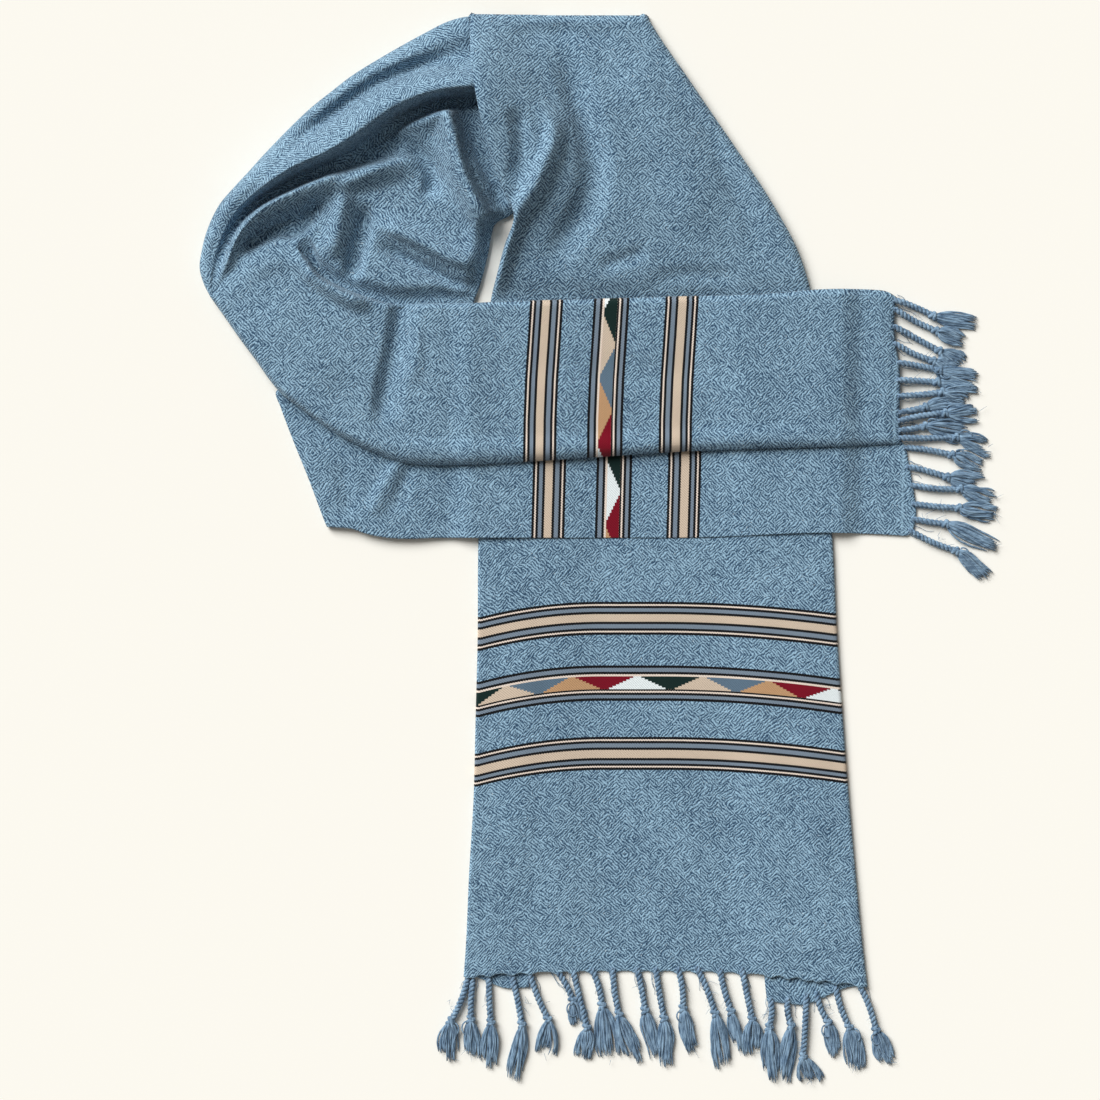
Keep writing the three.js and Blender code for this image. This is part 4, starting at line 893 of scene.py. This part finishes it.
UNDER_ROUND = 2.2  # radius of its folded side
UNDER_RESTS = (-83.6, -109.2)  # where it passes from the tail down to the floor
UNDER_WEAVE = 68.2  # where the under layer's weave starts across


def build_under(sizes, material):
    """The layer under the crossing end; its selvedge is the lowest line of the crossing."""
    turns = len(TURNS)
    edge = (1 - np.cos(TURNS)) * UNDER_ROUND / UNDER_LENGTH
    share = np.concatenate([edge, np.linspace(2.6 / UNDER_LENGTH, 1, 260)])
    ends = np.linspace(0, 1, 60)
    low, high = under_selvedge_line(share), under_tucked_line(share)
    plan = patch(low, high, under_fold_line(ends), under_hem_line(ends), share)
    x, y = plan[..., 0], plan[..., 1]
    bed = bed_height(x, y)
    thick = under_thick(x)
    swell = under_folds(x, y) + 0.3 * under_unevenness(x, y)
    z = bed + thick + swell * ease(*UNDER_RESTS, x) + 0.12 * under_unevenness(x, y)
    middle = bed + 0.5 * thick
    z[:, :turns] = edge_height(TURNS, z[:, :turns], middle[:, :turns], bed[:, :turns])
    places = np.dstack([plan, np.maximum(z, bed + LIFT)])
    lean = np.interp(y, [5.9, 55.2], [3.8, 5.1])
    cloth = np.stack([y + UNDER_WEAVE, x - lean - WEAVE_HEM], axis=-1)
    return cloth_object("under_cloth", [(places, cloth)], material, sizes.wall, ["cross_under"])


# Fringes: where a cord leaves the hem, its knot, and the tip of its tuft

LOWER_TASSELS = [
    ((-85.5, -275), (-95.8, -301.9), (-95.1, -326.2)),
    ((-81.7, -276.3), (-83, -300.6), (-83, -325)),
    ((-71.4, -275), (-70.2, -302.6), (-71.4, -333.3)),
    ((-56.7, -272.5), (-50.3, -303.8), (-54.2, -337.8)),
    ((-45.2, -271.2), (-33.7, -300.6), (-36.2, -323)),
    ((-27.9, -269.9), (-17.7, -288.5), (-13.2, -302.6)),
    ((-17.7, -269.3), (-8.7, -305.8), (-9.4, -326.2)),
    ((-5.5, -269.3), (0.9, -291.7), (6.6, -327.5)),
    ((7.9, -269.3), (11.8, -297.4), (23.3, -328.2)),
    ((23.3, -269.3), (28.4, -294.9), (35.4, -323)),
    ((35.4, -269.3), (40.6, -300), (42.5, -330.1)),
    ((49.5, -269.3), (52.7, -293.6), (59.8, -323)),
    ((61.7, -268), (73.2, -296.8), (80.2, -332.6)),
    ((76.4, -269.3), (83.4, -295.5), (88.6, -320.5)),
    ((90.5, -269.3), (96.9, -300.6), (99.4, -323)),
    ((108.4, -288.5), (107.8, -305.8), (111, -339.7)),
    ((119.9, -288.5), (121.8, -304.5), (118, -341)),
    ((131.4, -285.9), (129.5, -324.3), (135.3, -341.6)),
    ((138.5, -284.6), (145.5, -302.6), (150, -323.7)),
    ((150.6, -280.8), (159, -305.8), (164.1, -332.6)),
    ((165.4, -278.9), (176.2, -307.7), (186.5, -330.1)),
]
CROSS_TASSELS = [
    ((189, 158.9), (212.7, 149.3), (239, 144.8)),
    ((189, 153.1), (214.6, 139.7), (231.9, 133.3)),
    ((188.4, 142.2), (216.6, 126.9), (230, 116.6)),
    ((189, 131.4), (212.7, 120.5), (226.8, 110.9)),
    ((191, 119.2), (216.6, 114.7), (242.2, 110.2)),
    ((191, 108.3), (215.3, 107), (242.2, 102.6)),
    ((191.6, 98.1), (218.5, 100.6), (236.4, 97.4)),
    ((192.2, 87.8), (207.6, 91), (228.1, 96.2)),
    ((191.6, 82.1), (220.4, 87.2), (242.8, 88.5)),
    ((192.2, 76.3), (207.6, 78.9), (234.5, 75.7)),
    ((192.2, 71.2), (227.4, 71.8), (249.2, 64.8)),
]
UNDER_TASSELS = [
    ((195.4, 64.8), (224.9, 60.3), (243.4, 52.6)),
    ((197.4, 52.6), (221.7, 46.2), (244.1, 43)),
    ((199.3, 41.1), (230, 38.6), (253.7, 32.2)),
    ((200.6, 29), (229.4, 26.4), (253.7, 22.6)),
    ((200.6, 19.4), (221, 16.2), (255, 0.8)),
    ((198.6, 11.7), (227.4, -1.1), (247.9, -17.8)),
]
CORD_LIE = 2.2  # height of a cord's middle over the floor
STRAND_LIFT = 0.12  # gap between the lowest strands and the floor
TUFT_WIDE = 5.8  # half width of a tuft
LOOP_CHANCE = 0.35  # share of the tufts that drop a loop of yarn
HAIRS = 16  # fine fibres on a tassel
WISPS = 3  # loose threads beside a cord


def add_strand(curve, points, radii, closed=False):
    """One round strand in a curve, with a radius (mm) at each point."""
    spline = curve.splines.new("POLY")
    spline.points.add(len(points) - 1)
    for point, place, radius in zip(spline.points, points, radii):
        point.co = (place[0] * MM, place[1] * MM, max(place[2], radius + STRAND_LIFT) * MM, 1)
        point.radius = radius * MM
    spline.use_cyclic_u = closed
    spline.use_smooth = True


def strands(name, sides):
    """An empty curve whose strands get this many steps round each quarter."""
    curve = bpy.data.curves.new(name, "CURVE")
    curve.dimensions = "3D"
    curve.bevel_depth = 1
    curve.bevel_resolution = sides
    curve.use_fill_caps = True
    return curve


def add_cord(curve, line, high, sizes, source):
    """Two plies twisted round a plan line, given as its points and heights."""
    ply = sizes.ply / MM
    twist = sizes.twist / MM
    steps = np.linalg.norm(np.diff(line, axis=0), axis=1)
    length = np.concatenate([[0], np.cumsum(steps)])
    count = max(int(length[-1] / 0.5), 8)
    at = np.linspace(0, length[-1], count)
    middle = np.stack([np.interp(at, length, line[:, k]) for k in range(2)], axis=-1)
    tall = np.interp(at, length, high)
    along = np.gradient(middle, axis=0)
    along = along / np.linalg.norm(along, axis=1)[:, None]
    start = source.uniform(0, 6.3)
    thin = mix(0.72, 1, ease(0, 4, at))
    for half in (0, math.pi):
        angle = start + half + 2 * math.pi * at / twist
        out = np.cos(angle) * ply * 0.9 * thin
        up = np.sin(angle) * ply * 0.9 * thin
        places = np.stack(
            [middle[:, 0] - along[:, 1] * out, middle[:, 1] + along[:, 0] * out, tall + up], axis=-1
        )
        add_strand(curve, places, ply * thin * (1 + 0.05 * np.sin(3.1 * at + half)))


def add_knot(curve, place, way, source):
    """An overhand knot as two slanted turns of the cord, one over the other."""
    side = np.array([-way[1], way[0]])
    angle = np.linspace(0, 2 * math.pi, 15)[:-1]
    for shift, slant, wide in ((-0.75, 0.55, 1.75), (0.85, -0.5, 1.9)):
        out = np.cos(angle) * wide
        along = shift + slant * np.cos(angle) * wide + 0.35 * np.sin(2 * angle)
        up = 2.9 + np.sin(angle) * 1.35
        plan = place + out[:, None] * side + along[:, None] * way
        add_strand(curve, np.column_stack([plan, up]), np.full(len(angle), 1.3), closed=True)
    core = [place - way * 2.2, place, place + way * 2.4]
    add_strand(curve, np.column_stack([core, [2.3, 2.8, 2.3]]), [1.5, 2.1, 1.5])


def add_tuft(curve, place, tip, way, sizes, source):
    """Loose yarns that part into a few locks under a knot and hang to an uneven end."""
    reach = tip - place
    length = np.linalg.norm(reach)
    out = reach / length
    side = np.array([-out[1], out[0]])
    share = np.linspace(0, 1, 9)
    wide = TUFT_WIDE * source.uniform(0.8, 1.15)
    swell = np.interp(share, [0, 0.12, 0.3, 0.6, 0.85, 1], [0.22, 0.58, 0.9, 1.0, 0.95, 0.9])
    locks = int(source.integers(3, 6))
    middles = (np.arange(locks) + 0.5) / locks * 2 - 1 + source.uniform(-0.12, 0.12, locks)
    bows = source.uniform(-3, 3, locks)
    lengths = source.uniform(0.78, 1.06, locks)
    levels = source.uniform(0.2, 1, locks)
    for k in range(sizes.yarns):
        lock = k % locks
        spread = middles[lock] + source.normal(0, 0.75 / locks)
        long = length * lengths[lock] * source.uniform(0.86, 1.04)
        wave = source.uniform(0, 6.3)
        swing = spread * wide * swell + bows[lock] * np.sin(2.4 * share) * share
        swing = swing + source.uniform(-0.9, 0.9) * share**2
        swing = swing + 0.45 * np.sin(wave + share * source.uniform(4, 9)) * share**0.5
        bend = mix(way, out, 0.5) * 0.9 * np.sin(math.pi * share)[:, None]
        plan = place + out * (share * long)[:, None] + side * swing[:, None] + bend
        dome = math.sqrt(max(1 - min(abs(spread), 1) ** 2, 0))
        level = levels[lock] * source.uniform(0.5, 1)
        bulge = np.interp(share, [0, 0.3, 1], [1, 1, 0.5])
        up = 1.0 + (0.6 + 3.0 * level) * (0.35 + 0.65 * dome) * bulge
        up = up + 0.35 * np.sin(wave + 5 * share) + 0.9 * (1 - share) ** 2
        radius = sizes.yarn / MM * source.uniform(0.8, 1.25)
        taper = np.interp(share, [0, 0.12, 0.8, 1], [1.1, 1.05, 0.95, 0.35])
        add_strand(curve, np.column_stack([plan, up]), radius * taper)
    if source.uniform(0, 1) < LOOP_CHANCE:
        turn = np.linspace(0.1, 2 * math.pi - 0.5, 14)
        hand = source.choice([-1, 1])
        size = source.uniform(2.2, 3.4)
        round_plan = np.stack([1 - np.cos(turn), hand * np.sin(turn)], axis=-1) * [size * 1.3, size]
        plan = place + round_plan[:, :1] * out + (round_plan[:, 1:] + hand * 2.4) * side
        up = 3.2 + 0.8 * np.sin(turn)
        add_strand(curve, np.column_stack([plan, up]), np.full(len(turn), 0.5))


def add_fuzz(curve, place, tip, source):
    """Fine fibres that stand off a tuft or a cord."""
    reach = tip - place
    side = np.array([-reach[1], reach[0]]) / np.linalg.norm(reach)
    share = np.linspace(0, 1, 6)
    for _ in range(HAIRS):
        start = place + reach * source.uniform(-0.6, 0.98)
        turn = source.uniform(-1, 1)
        long = source.uniform(2.5, 7)
        heading = reach / np.linalg.norm(reach) * source.uniform(-0.2, 1) + side * turn
        plan = start + heading * (share * long)[:, None]
        plan = plan + side * (np.sin(share * 3 * turn) * 0.9)[:, None]
        up = 2.4 + source.uniform(-1.2, 1.6) * share
        add_strand(curve, np.column_stack([plan, up]), mix(0.14, 0.06, share))


def add_wisps(curve, root, way, source):
    """Thin loose threads that hang out of the hem beside a cord."""
    side = np.array([-way[1], way[0]])
    share = np.linspace(0, 1, 9)
    for _ in range(WISPS):
        start = root + side * source.uniform(-4, 4) - way * 1.0
        long = source.uniform(5, 17)
        wave = source.uniform(0, 6.3)
        swing = source.uniform(-2.5, 2.5) * share**2 + 0.9 * np.sin(wave + 7 * share) * share
        plan = start + way * (share * long)[:, None] + side * swing[:, None]
        up = mix(1.4, 0.5, share)
        add_strand(curve, np.column_stack([plan, up]), mix(0.2, 0.1, share))


def build_fringe(name, tassels, root_high, replaced, sizes, material):
    """Tassels rooted in one hem."""
    source = np.random.default_rng(len(tassels) * SEED)
    cords = strands("cords", 2)
    yarns = strands("yarns", 1)
    hairs = strands("hairs", 0)
    for root, knot, tip in tassels:
        root, knot, tip = np.array(root), np.array(knot), np.array(tip)
        way = (knot - root) / np.linalg.norm(knot - root)
        side = np.array([-way[1], way[0]])
        bow = source.uniform(-1.3, 1.3)
        share = np.linspace(0, 1, 24)
        begin = root - way * 1.6
        line = mix(begin, knot, share[:, None]) + side * (bow * np.sin(math.pi * share))[:, None]
        high = mix(root_high, CORD_LIE, ease(0, 0.55, share)) + 0.5 * np.sin(math.pi * share)
        add_cord(cords, line, high, sizes, source)
        add_knot(cords, knot, way, source)
        add_tuft(yarns, knot + way * 1.2, tip, way, sizes, source)
        add_fuzz(hairs, knot, tip, source)
        add_wisps(hairs, root, way, source)
    place_piece(mesh_from_strands(name, (cords, yarns, hairs), material), [replaced])


def mesh_from_strands(name, curves, material):
    """One mesh object from several curves of strands."""
    bm = bmesh.new()
    for curve in curves:
        holder = bpy.data.objects.new("strands", curve)
        bpy.context.scene.collection.objects.link(holder)
        shaped = holder.evaluated_get(bpy.context.evaluated_depsgraph_get())
        mesh = bpy.data.meshes.new_from_object(shaped)
        bm.from_mesh(mesh)
        bpy.data.objects.remove(holder)
        bpy.data.curves.remove(curve)
        bpy.data.meshes.remove(mesh)
    bmesh.ops.remove_doubles(bm, verts=bm.verts, dist=0.004 * MM)
    bmesh.ops.recalc_face_normals(bm, faces=bm.faces)
    for face in bm.faces:
        face.smooth = True
    return mesh_object(name, bm, material)


# Materials


class Value:
    """A value in a material's nodes that sums can be written with."""

    def __init__(self, graph, socket):
        self.graph = graph
        self.socket = socket

    def __add__(self, other):
        return self.graph.maths("ADD", self, other)

    def __sub__(self, other):
        return self.graph.maths("SUBTRACT", self, other)

    def __rsub__(self, other):
        return self.graph.maths("SUBTRACT", other, self)

    def __mul__(self, other):
        return self.graph.maths("MULTIPLY", self, other)

    def __truediv__(self, other):
        return self.graph.maths("DIVIDE", self, other)

    def __gt__(self, other):
        return self.graph.maths("GREATER_THAN", self, other)

    def __lt__(self, other):
        return self.graph.maths("LESS_THAN", self, other)


class Graph:
    """A material's nodes, with short ways to add and join them."""

    def __init__(self, name):
        self.material = bpy.data.materials.new(name)
        self.material.use_nodes = True
        self.tree = self.material.node_tree
        self.tree.nodes.clear()

    def add(self, kind, inputs, output=0, **settings):
        """A node with its inputs filled in, and the value that it gives."""
        node = self.tree.nodes.new(kind)
        for key, value in settings.items():
            setattr(node, key, value)
        for key, value in inputs.items():
            if isinstance(value, Value):
                self.tree.links.new(value.socket, node.inputs[key])
            elif value is not None:
                node.inputs[key].default_value = value
        return Value(self, node.outputs[output])

    def maths(self, operation, first, second=None, third=None):
        return self.add("ShaderNodeMath", {0: first, 1: second, 2: third}, operation=operation)

    def blend(self, share, first, second, way="MIX"):
        inputs = {0: share, 6: first, 7: second}
        return self.add("ShaderNodeMix", inputs, 2, data_type="RGBA", blend_type=way)

    def noise(self, vector, scale, detail=2, roughness=0.5):
        inputs = {"Vector": vector, "Scale": scale, "Detail": detail, "Roughness": roughness}
        return self.add("ShaderNodeTexNoise", inputs, "Fac")

    def remap(self, value, low, high, to_low=0, to_high=1):
        inputs = dict(enumerate((value, low, high, to_low, to_high)))
        return self.add("ShaderNodeMapRange", inputs, interpolation_type="LINEAR")

    def steps(self, value, stops):
        """Plain colours from each place (0 to 1) on."""
        made = self.add("ShaderNodeValToRGB", {0: value})
        ramp = made.socket.node.color_ramp
        ramp.interpolation = "CONSTANT"
        for k, (place, colour) in enumerate(stops):
            stop = ramp.elements[k] if k < 2 else ramp.elements.new(place)
            stop.position = place
            stop.color = colour
        return made

    def vector(self, x, y, z=0.0):
        return self.add("ShaderNodeCombineXYZ", {0: x, 1: y, 2: z})

    def finish(self, colour, height, roughness, sheen, distance, strength):
        """Ends the material with its surface, and with its bumps where a height is given."""
        inputs = {
            "Base Color": colour,
            "Roughness": roughness,
            "Sheen Weight": sheen,
            "Sheen Roughness": 0.6,
            "Specular IOR Level": 0.12,
        }
        if height is not None:
            bumps = {"Strength": strength, "Distance": distance, "Height": height}
            inputs["Normal"] = self.add("ShaderNodeBump", bumps)
        surface = self.add("ShaderNodeBsdfPrincipled", inputs)
        end = self.tree.nodes.new("ShaderNodeOutputMaterial")
        self.tree.links.new(surface.socket, end.inputs[0])
        return self.material


# Bands from the hem on, as (place where a stripe starts, its colour), in mm
BANDS = [
    [
        (129.4, "black"), (131.0, "pale"), (132.0, "black"), (133.6, "grey"),
        (135.5, "black"), (137.1, "cream"), (142.2, "black"), (143.8, "grey"),
        (146.4, "black"), (148.0, "pale"), (149.0, "black"), (150.6, None),
    ],
    [
        (173.6, "black"), (175.2, "grey"), (177.3, "black"), (178.9, "pale"),
        (179.9, "black"), (181.1, "triangles"), (189.3, "pale"), (190.6, "black"),
        (192.2, "grey"), (194.7, "black"), (196.3, None),
    ],
    [
        (215.8, "black"), (217.4, "pale"), (218.4, "black"), (220.0, "grey"),
        (222.6, "black"), (224.2, "cream"), (229.0, "black"), (230.6, "grey"),
        (232.8, "black"), (234.4, "pale"), (235.4, "black"), (237.0, None),
    ],
]
TRIANGLE_COLOURS = ["green", "cream", "slate", "tan", "crimson", "white"]
TRIANGLE_PITCH = 21  # from one triangle's middle to the next one's, in mm
TRIANGLE_BASE = 28 / 65.6  # half widths at the base and the apex, in two pitches
TRIANGLE_APEX = 4 / 65.6
TRIANGLE_STEPS = 8  # rows of threads that a slanting side is stepped in
LOZENGE = 18  # threads from the middle of a lozenge to its corner
BROKEN = 0.58  # share of the lozenges' quarters that keep their direction
TWILL = 4  # threads in a twill line's repeat
BAND_TWILL = 0.0016  # twill repeat in the bands, in metres
HEM_THREAD = 1.1  # width of the paler thread along a hem, in mm
TOOTH = 1.7  # length of one tooth of a stripe's edge, in mm
TOOTH_DEEP = 0.4  # slope of a tooth


def wool_material(sizes, colours):
    """Lozenge twill in two blues, with the woven bands near the hem."""

    def tone(name):
        return (*getattr(colours, name), 1)

    def pingpong(value, size):
        return g.maths("PINGPONG", value, size)

    g = Graph("muffler twill")
    uv = g.add("ShaderNodeUVMap", {}, uv_map="cloth")
    place = g.add("ShaderNodeTexCoord", {}, "Object")
    across = g.add("ShaderNodeSeparateXYZ", {0: uv}, 0)
    along = g.add("ShaderNodeSeparateXYZ", {0: uv}, 1)
    drift = (g.noise(place, 90) - 0.5) * 3.0
    u = across / sizes.thread + drift
    v = along / sizes.thread - drift
    half = LOZENGE / 2
    quarter = g.vector(g.maths("FLOOR", u / half), g.maths("FLOOR", v / half))
    chance = g.add("ShaderNodeTexWhiteNoise", {"Vector": quarter}, "Value", noise_dimensions="2D")
    turned = 1 - (chance > BROKEN) * 2
    steps = pingpong(u, LOZENGE) + pingpong(v, LOZENGE) * turned
    loose = (g.noise(uv, 330, 1) - 0.5) * 5.0
    line = g.remap(g.maths("SINE", (steps + loose) * (2 * math.pi / TWILL)), -1, 1)
    fine = g.noise(uv, 1350, 2, 0.65)
    coarse = g.noise(place, 380, 3, 0.6)
    cloudy = g.noise(place, 26, 3)
    strength = g.remap(g.noise(uv, 650, 1), 0.3, 0.7, 0.1, 1.3)
    lit = (line - 0.5) * strength * 1.3 + 0.43
    for source, weight in ((fine, 3.2), (coarse, 1.7), (cloudy, 0.45)):
        lit = lit + (source - 0.5) * weight
    field = g.blend(g.remap(lit, 0, 1), tone("deep"), tone("light"))
    slub = g.noise(uv, 700, 1) > 0.73
    field = g.blend(slub * 0.6, field, tone("fleck"))

    distance = g.maths("ABSOLUTE", along) * 1000
    tooth = (pingpong(across, TOOTH / 2 * MM) - TOOTH / 4 * MM) * (TOOTH_DEEP / MM)
    edge = distance + tooth
    pair = (across / (TRIANGLE_PITCH * MM) - 1) / 2
    nearest_up = g.maths("ROUND", pair)
    off = g.maths("ABSOLUTE", pair - nearest_up)
    low, high = BANDS[1][5][0], BANDS[1][6][0]
    height = g.maths("ABSOLUTE", g.remap(distance, low, high) - (along < 0))
    level = g.maths("FLOOR", height * TRIANGLE_STEPS) / (TRIANGLE_STEPS - 1)
    inside = off < g.remap(level, 0, 1, TRIANGLE_BASE, TRIANGLE_APEX)
    pointing_up = inside * (nearest_up * 2 + 1)
    pointing_down = (1 - inside) * (g.maths("FLOOR", pair) * 2 + 2)
    kinds = len(TRIANGLE_COLOURS)
    turn = g.maths("WRAP", pointing_up + pointing_down + 0.5, kinds, 0) / kinds
    stops = [(k / kinds, tone(name)) for k, name in enumerate(TRIANGLE_COLOURS)]
    triangles = g.steps(turn, stops)
    colour, banded = field, None
    for band in BANDS:
        start, end = band[0][0], band[-1][0]
        stops = []
        for spot, name in band[:-1]:
            known = "cream" if name == "triangles" else name
            stops.append(((spot - start) / (end - start), tone(known)))
        stripes = g.steps(g.remap(edge, start, end), stops)
        if band is BANDS[1]:
            stripes = g.blend((distance > low) * (distance < high), stripes, triangles)
        within = (edge > start) * (edge < end)
        banded = within if banded is None else banded + within
        colour = g.blend(within, colour, stripes)
    twill = g.maths("SINE", (across + along) * (2 * math.pi / BAND_TWILL))
    shade = g.remap(twill * 0.3 + fine, 0.1, 0.9, 0.7, 1.22)
    shaded = g.blend(1.0, colour, g.vector(shade, shade, shade), "MULTIPLY")
    colour = g.blend(banded, colour, shaded)
    hem = g.remap(distance, HEM_THREAD, 0.2 * HEM_THREAD)
    colour = g.blend(hem * 0.45, colour, tone("light"))
    ribs = line * (1 - banded) + g.remap(twill, -1, 1) * (banded * 0.5)
    return g.finish(colour, ribs + fine * 0.9, 0.95, 0.12, 0.0004, 0.6)


def fringe_material(name, colours, along):
    """Spun wool yarn of a fringe whose strands run along an axis (0 across, 1 up the muffler)."""
    g = Graph(name)
    place = g.add("ShaderNodeTexCoord", {}, "Object")
    drawn_out = (0.16, 1, 1) if along == 0 else (1, 0.16, 1)
    squeezed = g.add("ShaderNodeVectorMath", {0: place, 1: drawn_out}, operation="MULTIPLY")
    streak = g.noise(squeezed, 700, 2, 0.6)
    fine = g.noise(place, 2400, 2, 0.6)
    share = fine * 0.5 + streak * 1.3 + g.noise(place, 200) * 0.4
    deep, light = (*colours.fringe_deep, 1), (*colours.fringe, 1)
    return g.finish(g.blend(g.remap(share, 0.75, 1.5), deep, light), fine, 0.95, 0.15, 0.0003, 0.5)


def floor_material(colours):
    """Plain pale floor."""
    return Graph("muffler floor").finish((*colours.floor, 1), None, 0.9, 0, 0, 0)


def material(name):
    """One of the muffler's materials, made when it is first asked for."""
    found = bpy.data.materials.get(name)
    if found:
        return found
    scene = bpy.context.scene
    if name == "muffler twill":
        return wool_material(scene.muffler_sizes, scene.muffler_colours)
    if name == "muffler yarn across":
        return fringe_material(name, scene.muffler_colours, 0)
    if name == "muffler yarn":
        return fringe_material(name, scene.muffler_colours, 1)
    return floor_material(scene.muffler_colours)


# Stage

LIGHT_FROM = (-1, 1.05, 1.2)
LIGHT_WIDTH = math.radians(40)
LIGHT_POWER = 3.95
LIGHT_COLOUR = (0.99, 1, 1.01)
ROOM_POWER = 0.2
ROOM_COLOUR = (1.05, 1, 0.94, 1)
FLOOR_HALF = 4
CAMERA_PLACE = (-0.0324, -0.0005, 3)
CAMERA_LENS = 153.4


def build_stage():
    """Floor, light and the camera straight above."""
    bm = bmesh.new()
    bmesh.ops.create_grid(bm, x_segments=1, y_segments=1, size=FLOOR_HALF)
    mesh_object("floor", bm, material("muffler floor"))
    lamp = bpy.data.lights.new("window", "SUN")
    lamp.angle = LIGHT_WIDTH
    lamp.energy = LIGHT_POWER
    lamp.color = LIGHT_COLOUR
    window = bpy.data.objects.new("window", lamp)
    window.rotation_euler = Vector(LIGHT_FROM).to_track_quat("Z", "Y").to_euler()
    world = bpy.data.worlds.new("room")
    world.use_nodes = True
    background = world.node_tree.nodes["Background"]
    background.inputs[0].default_value = ROOM_COLOUR
    background.inputs[1].default_value = ROOM_POWER
    lens = bpy.data.cameras.new("camera")
    lens.lens = CAMERA_LENS
    lens.sensor_width = 36
    lens.clip_end = 20
    camera = bpy.data.objects.new("camera", lens)
    camera.location = CAMERA_PLACE
    scene = bpy.context.scene
    scene.collection.objects.link(window)
    scene.collection.objects.link(camera)
    scene.world = world
    scene.camera = camera
    scene.view_settings.view_transform = "Standard"


# Operators and panel


class MUFFLER_OT_tail(bpy.types.Operator):
    """Build the lower tail with its folded sides"""

    bl_idname = "muffler.tail"
    bl_label = "Lower tail"

    def execute(self, context):
        piece = build_tail(context.scene.muffler_sizes, material("muffler twill"))
        return {"FINISHED"}


class MUFFLER_OT_neck(bpy.types.Operator):
    """Build the neck panel above the crossing"""

    bl_idname = "muffler.neck"
    bl_label = "Neck panel"

    def execute(self, context):
        piece = build_neck(context.scene.muffler_sizes, material("muffler twill"))
        return {"FINISHED"}


class MUFFLER_OT_loop(bpy.types.Operator):
    """Build the roll, the drape and the crossing end"""

    bl_idname = "muffler.loop"
    bl_label = "Loop and crossing end"

    def execute(self, context):
        piece = build_loop(context.scene.muffler_sizes, material("muffler twill"))
        return {"FINISHED"}


class MUFFLER_OT_under(bpy.types.Operator):
    """Build the layer under the crossing end"""

    bl_idname = "muffler.under"
    bl_label = "Under layer"

    def execute(self, context):
        piece = build_under(context.scene.muffler_sizes, material("muffler twill"))
        return {"FINISHED"}


class MUFFLER_OT_fringes(bpy.types.Operator):
    """Build the three knotted fringes"""

    bl_idname = "muffler.fringes"
    bl_label = "Fringes"

    def execute(self, context):
        sizes = context.scene.muffler_sizes
        hanging = material("muffler yarn")
        build_fringe("lower_tassels", LOWER_TASSELS, 1.9, "fringe_lower", sizes, hanging)
        yarn = material("muffler yarn across")
        build_fringe("cross_tassels", CROSS_TASSELS, 5.2, "fringe_cross_top", sizes, yarn)
        build_fringe("under_tassels", UNDER_TASSELS, 2.2, "fringe_cross_under", sizes, yarn)
        return {"FINISHED"}


class MUFFLER_OT_stage(bpy.types.Operator):
    """Build the floor, the light and the camera"""

    bl_idname = "muffler.stage"
    bl_label = "Floor, light and camera"

    def execute(self, context):
        build_stage()
        return {"FINISHED"}


class MUFFLER_PT_panel(bpy.types.Panel):
    """The muffler's pieces, sizes and colours"""

    bl_idname = "MUFFLER_PT_panel"
    bl_label = "Muffler"
    bl_space_type = "VIEW_3D"
    bl_region_type = "UI"
    bl_category = "Muffler"

    def draw(self, context):
        layout = self.layout
        for operator in OPERATORS:
            layout.operator(operator.bl_idname)
        for group in (context.scene.muffler_sizes, context.scene.muffler_colours):
            box = layout.box()
            for key in group.__annotations__:
                box.prop(group, key)


OPERATORS = (
    MUFFLER_OT_stage,
    MUFFLER_OT_tail,
    MUFFLER_OT_neck,
    MUFFLER_OT_under,
    MUFFLER_OT_loop,
    MUFFLER_OT_fringes,
)
CLASSES = (MufflerSizes, MufflerColours, *OPERATORS, MUFFLER_PT_panel)


def register():
    for item in CLASSES:
        bpy.utils.register_class(item)
    bpy.types.Scene.muffler_sizes = bpy.props.PointerProperty(type=MufflerSizes)
    bpy.types.Scene.muffler_colours = bpy.props.PointerProperty(type=MufflerColours)


def unregister():
    del bpy.types.Scene.muffler_colours
    del bpy.types.Scene.muffler_sizes
    for item in reversed(CLASSES):
        bpy.utils.unregister_class(item)


def main():
    register()
    bpy.ops.muffler.stage()
    bpy.ops.muffler.tail()
    bpy.ops.muffler.neck()
    bpy.ops.muffler.under()
    bpy.ops.muffler.loop()
    bpy.ops.muffler.fringes()


if __name__ == "__main__":
    main()
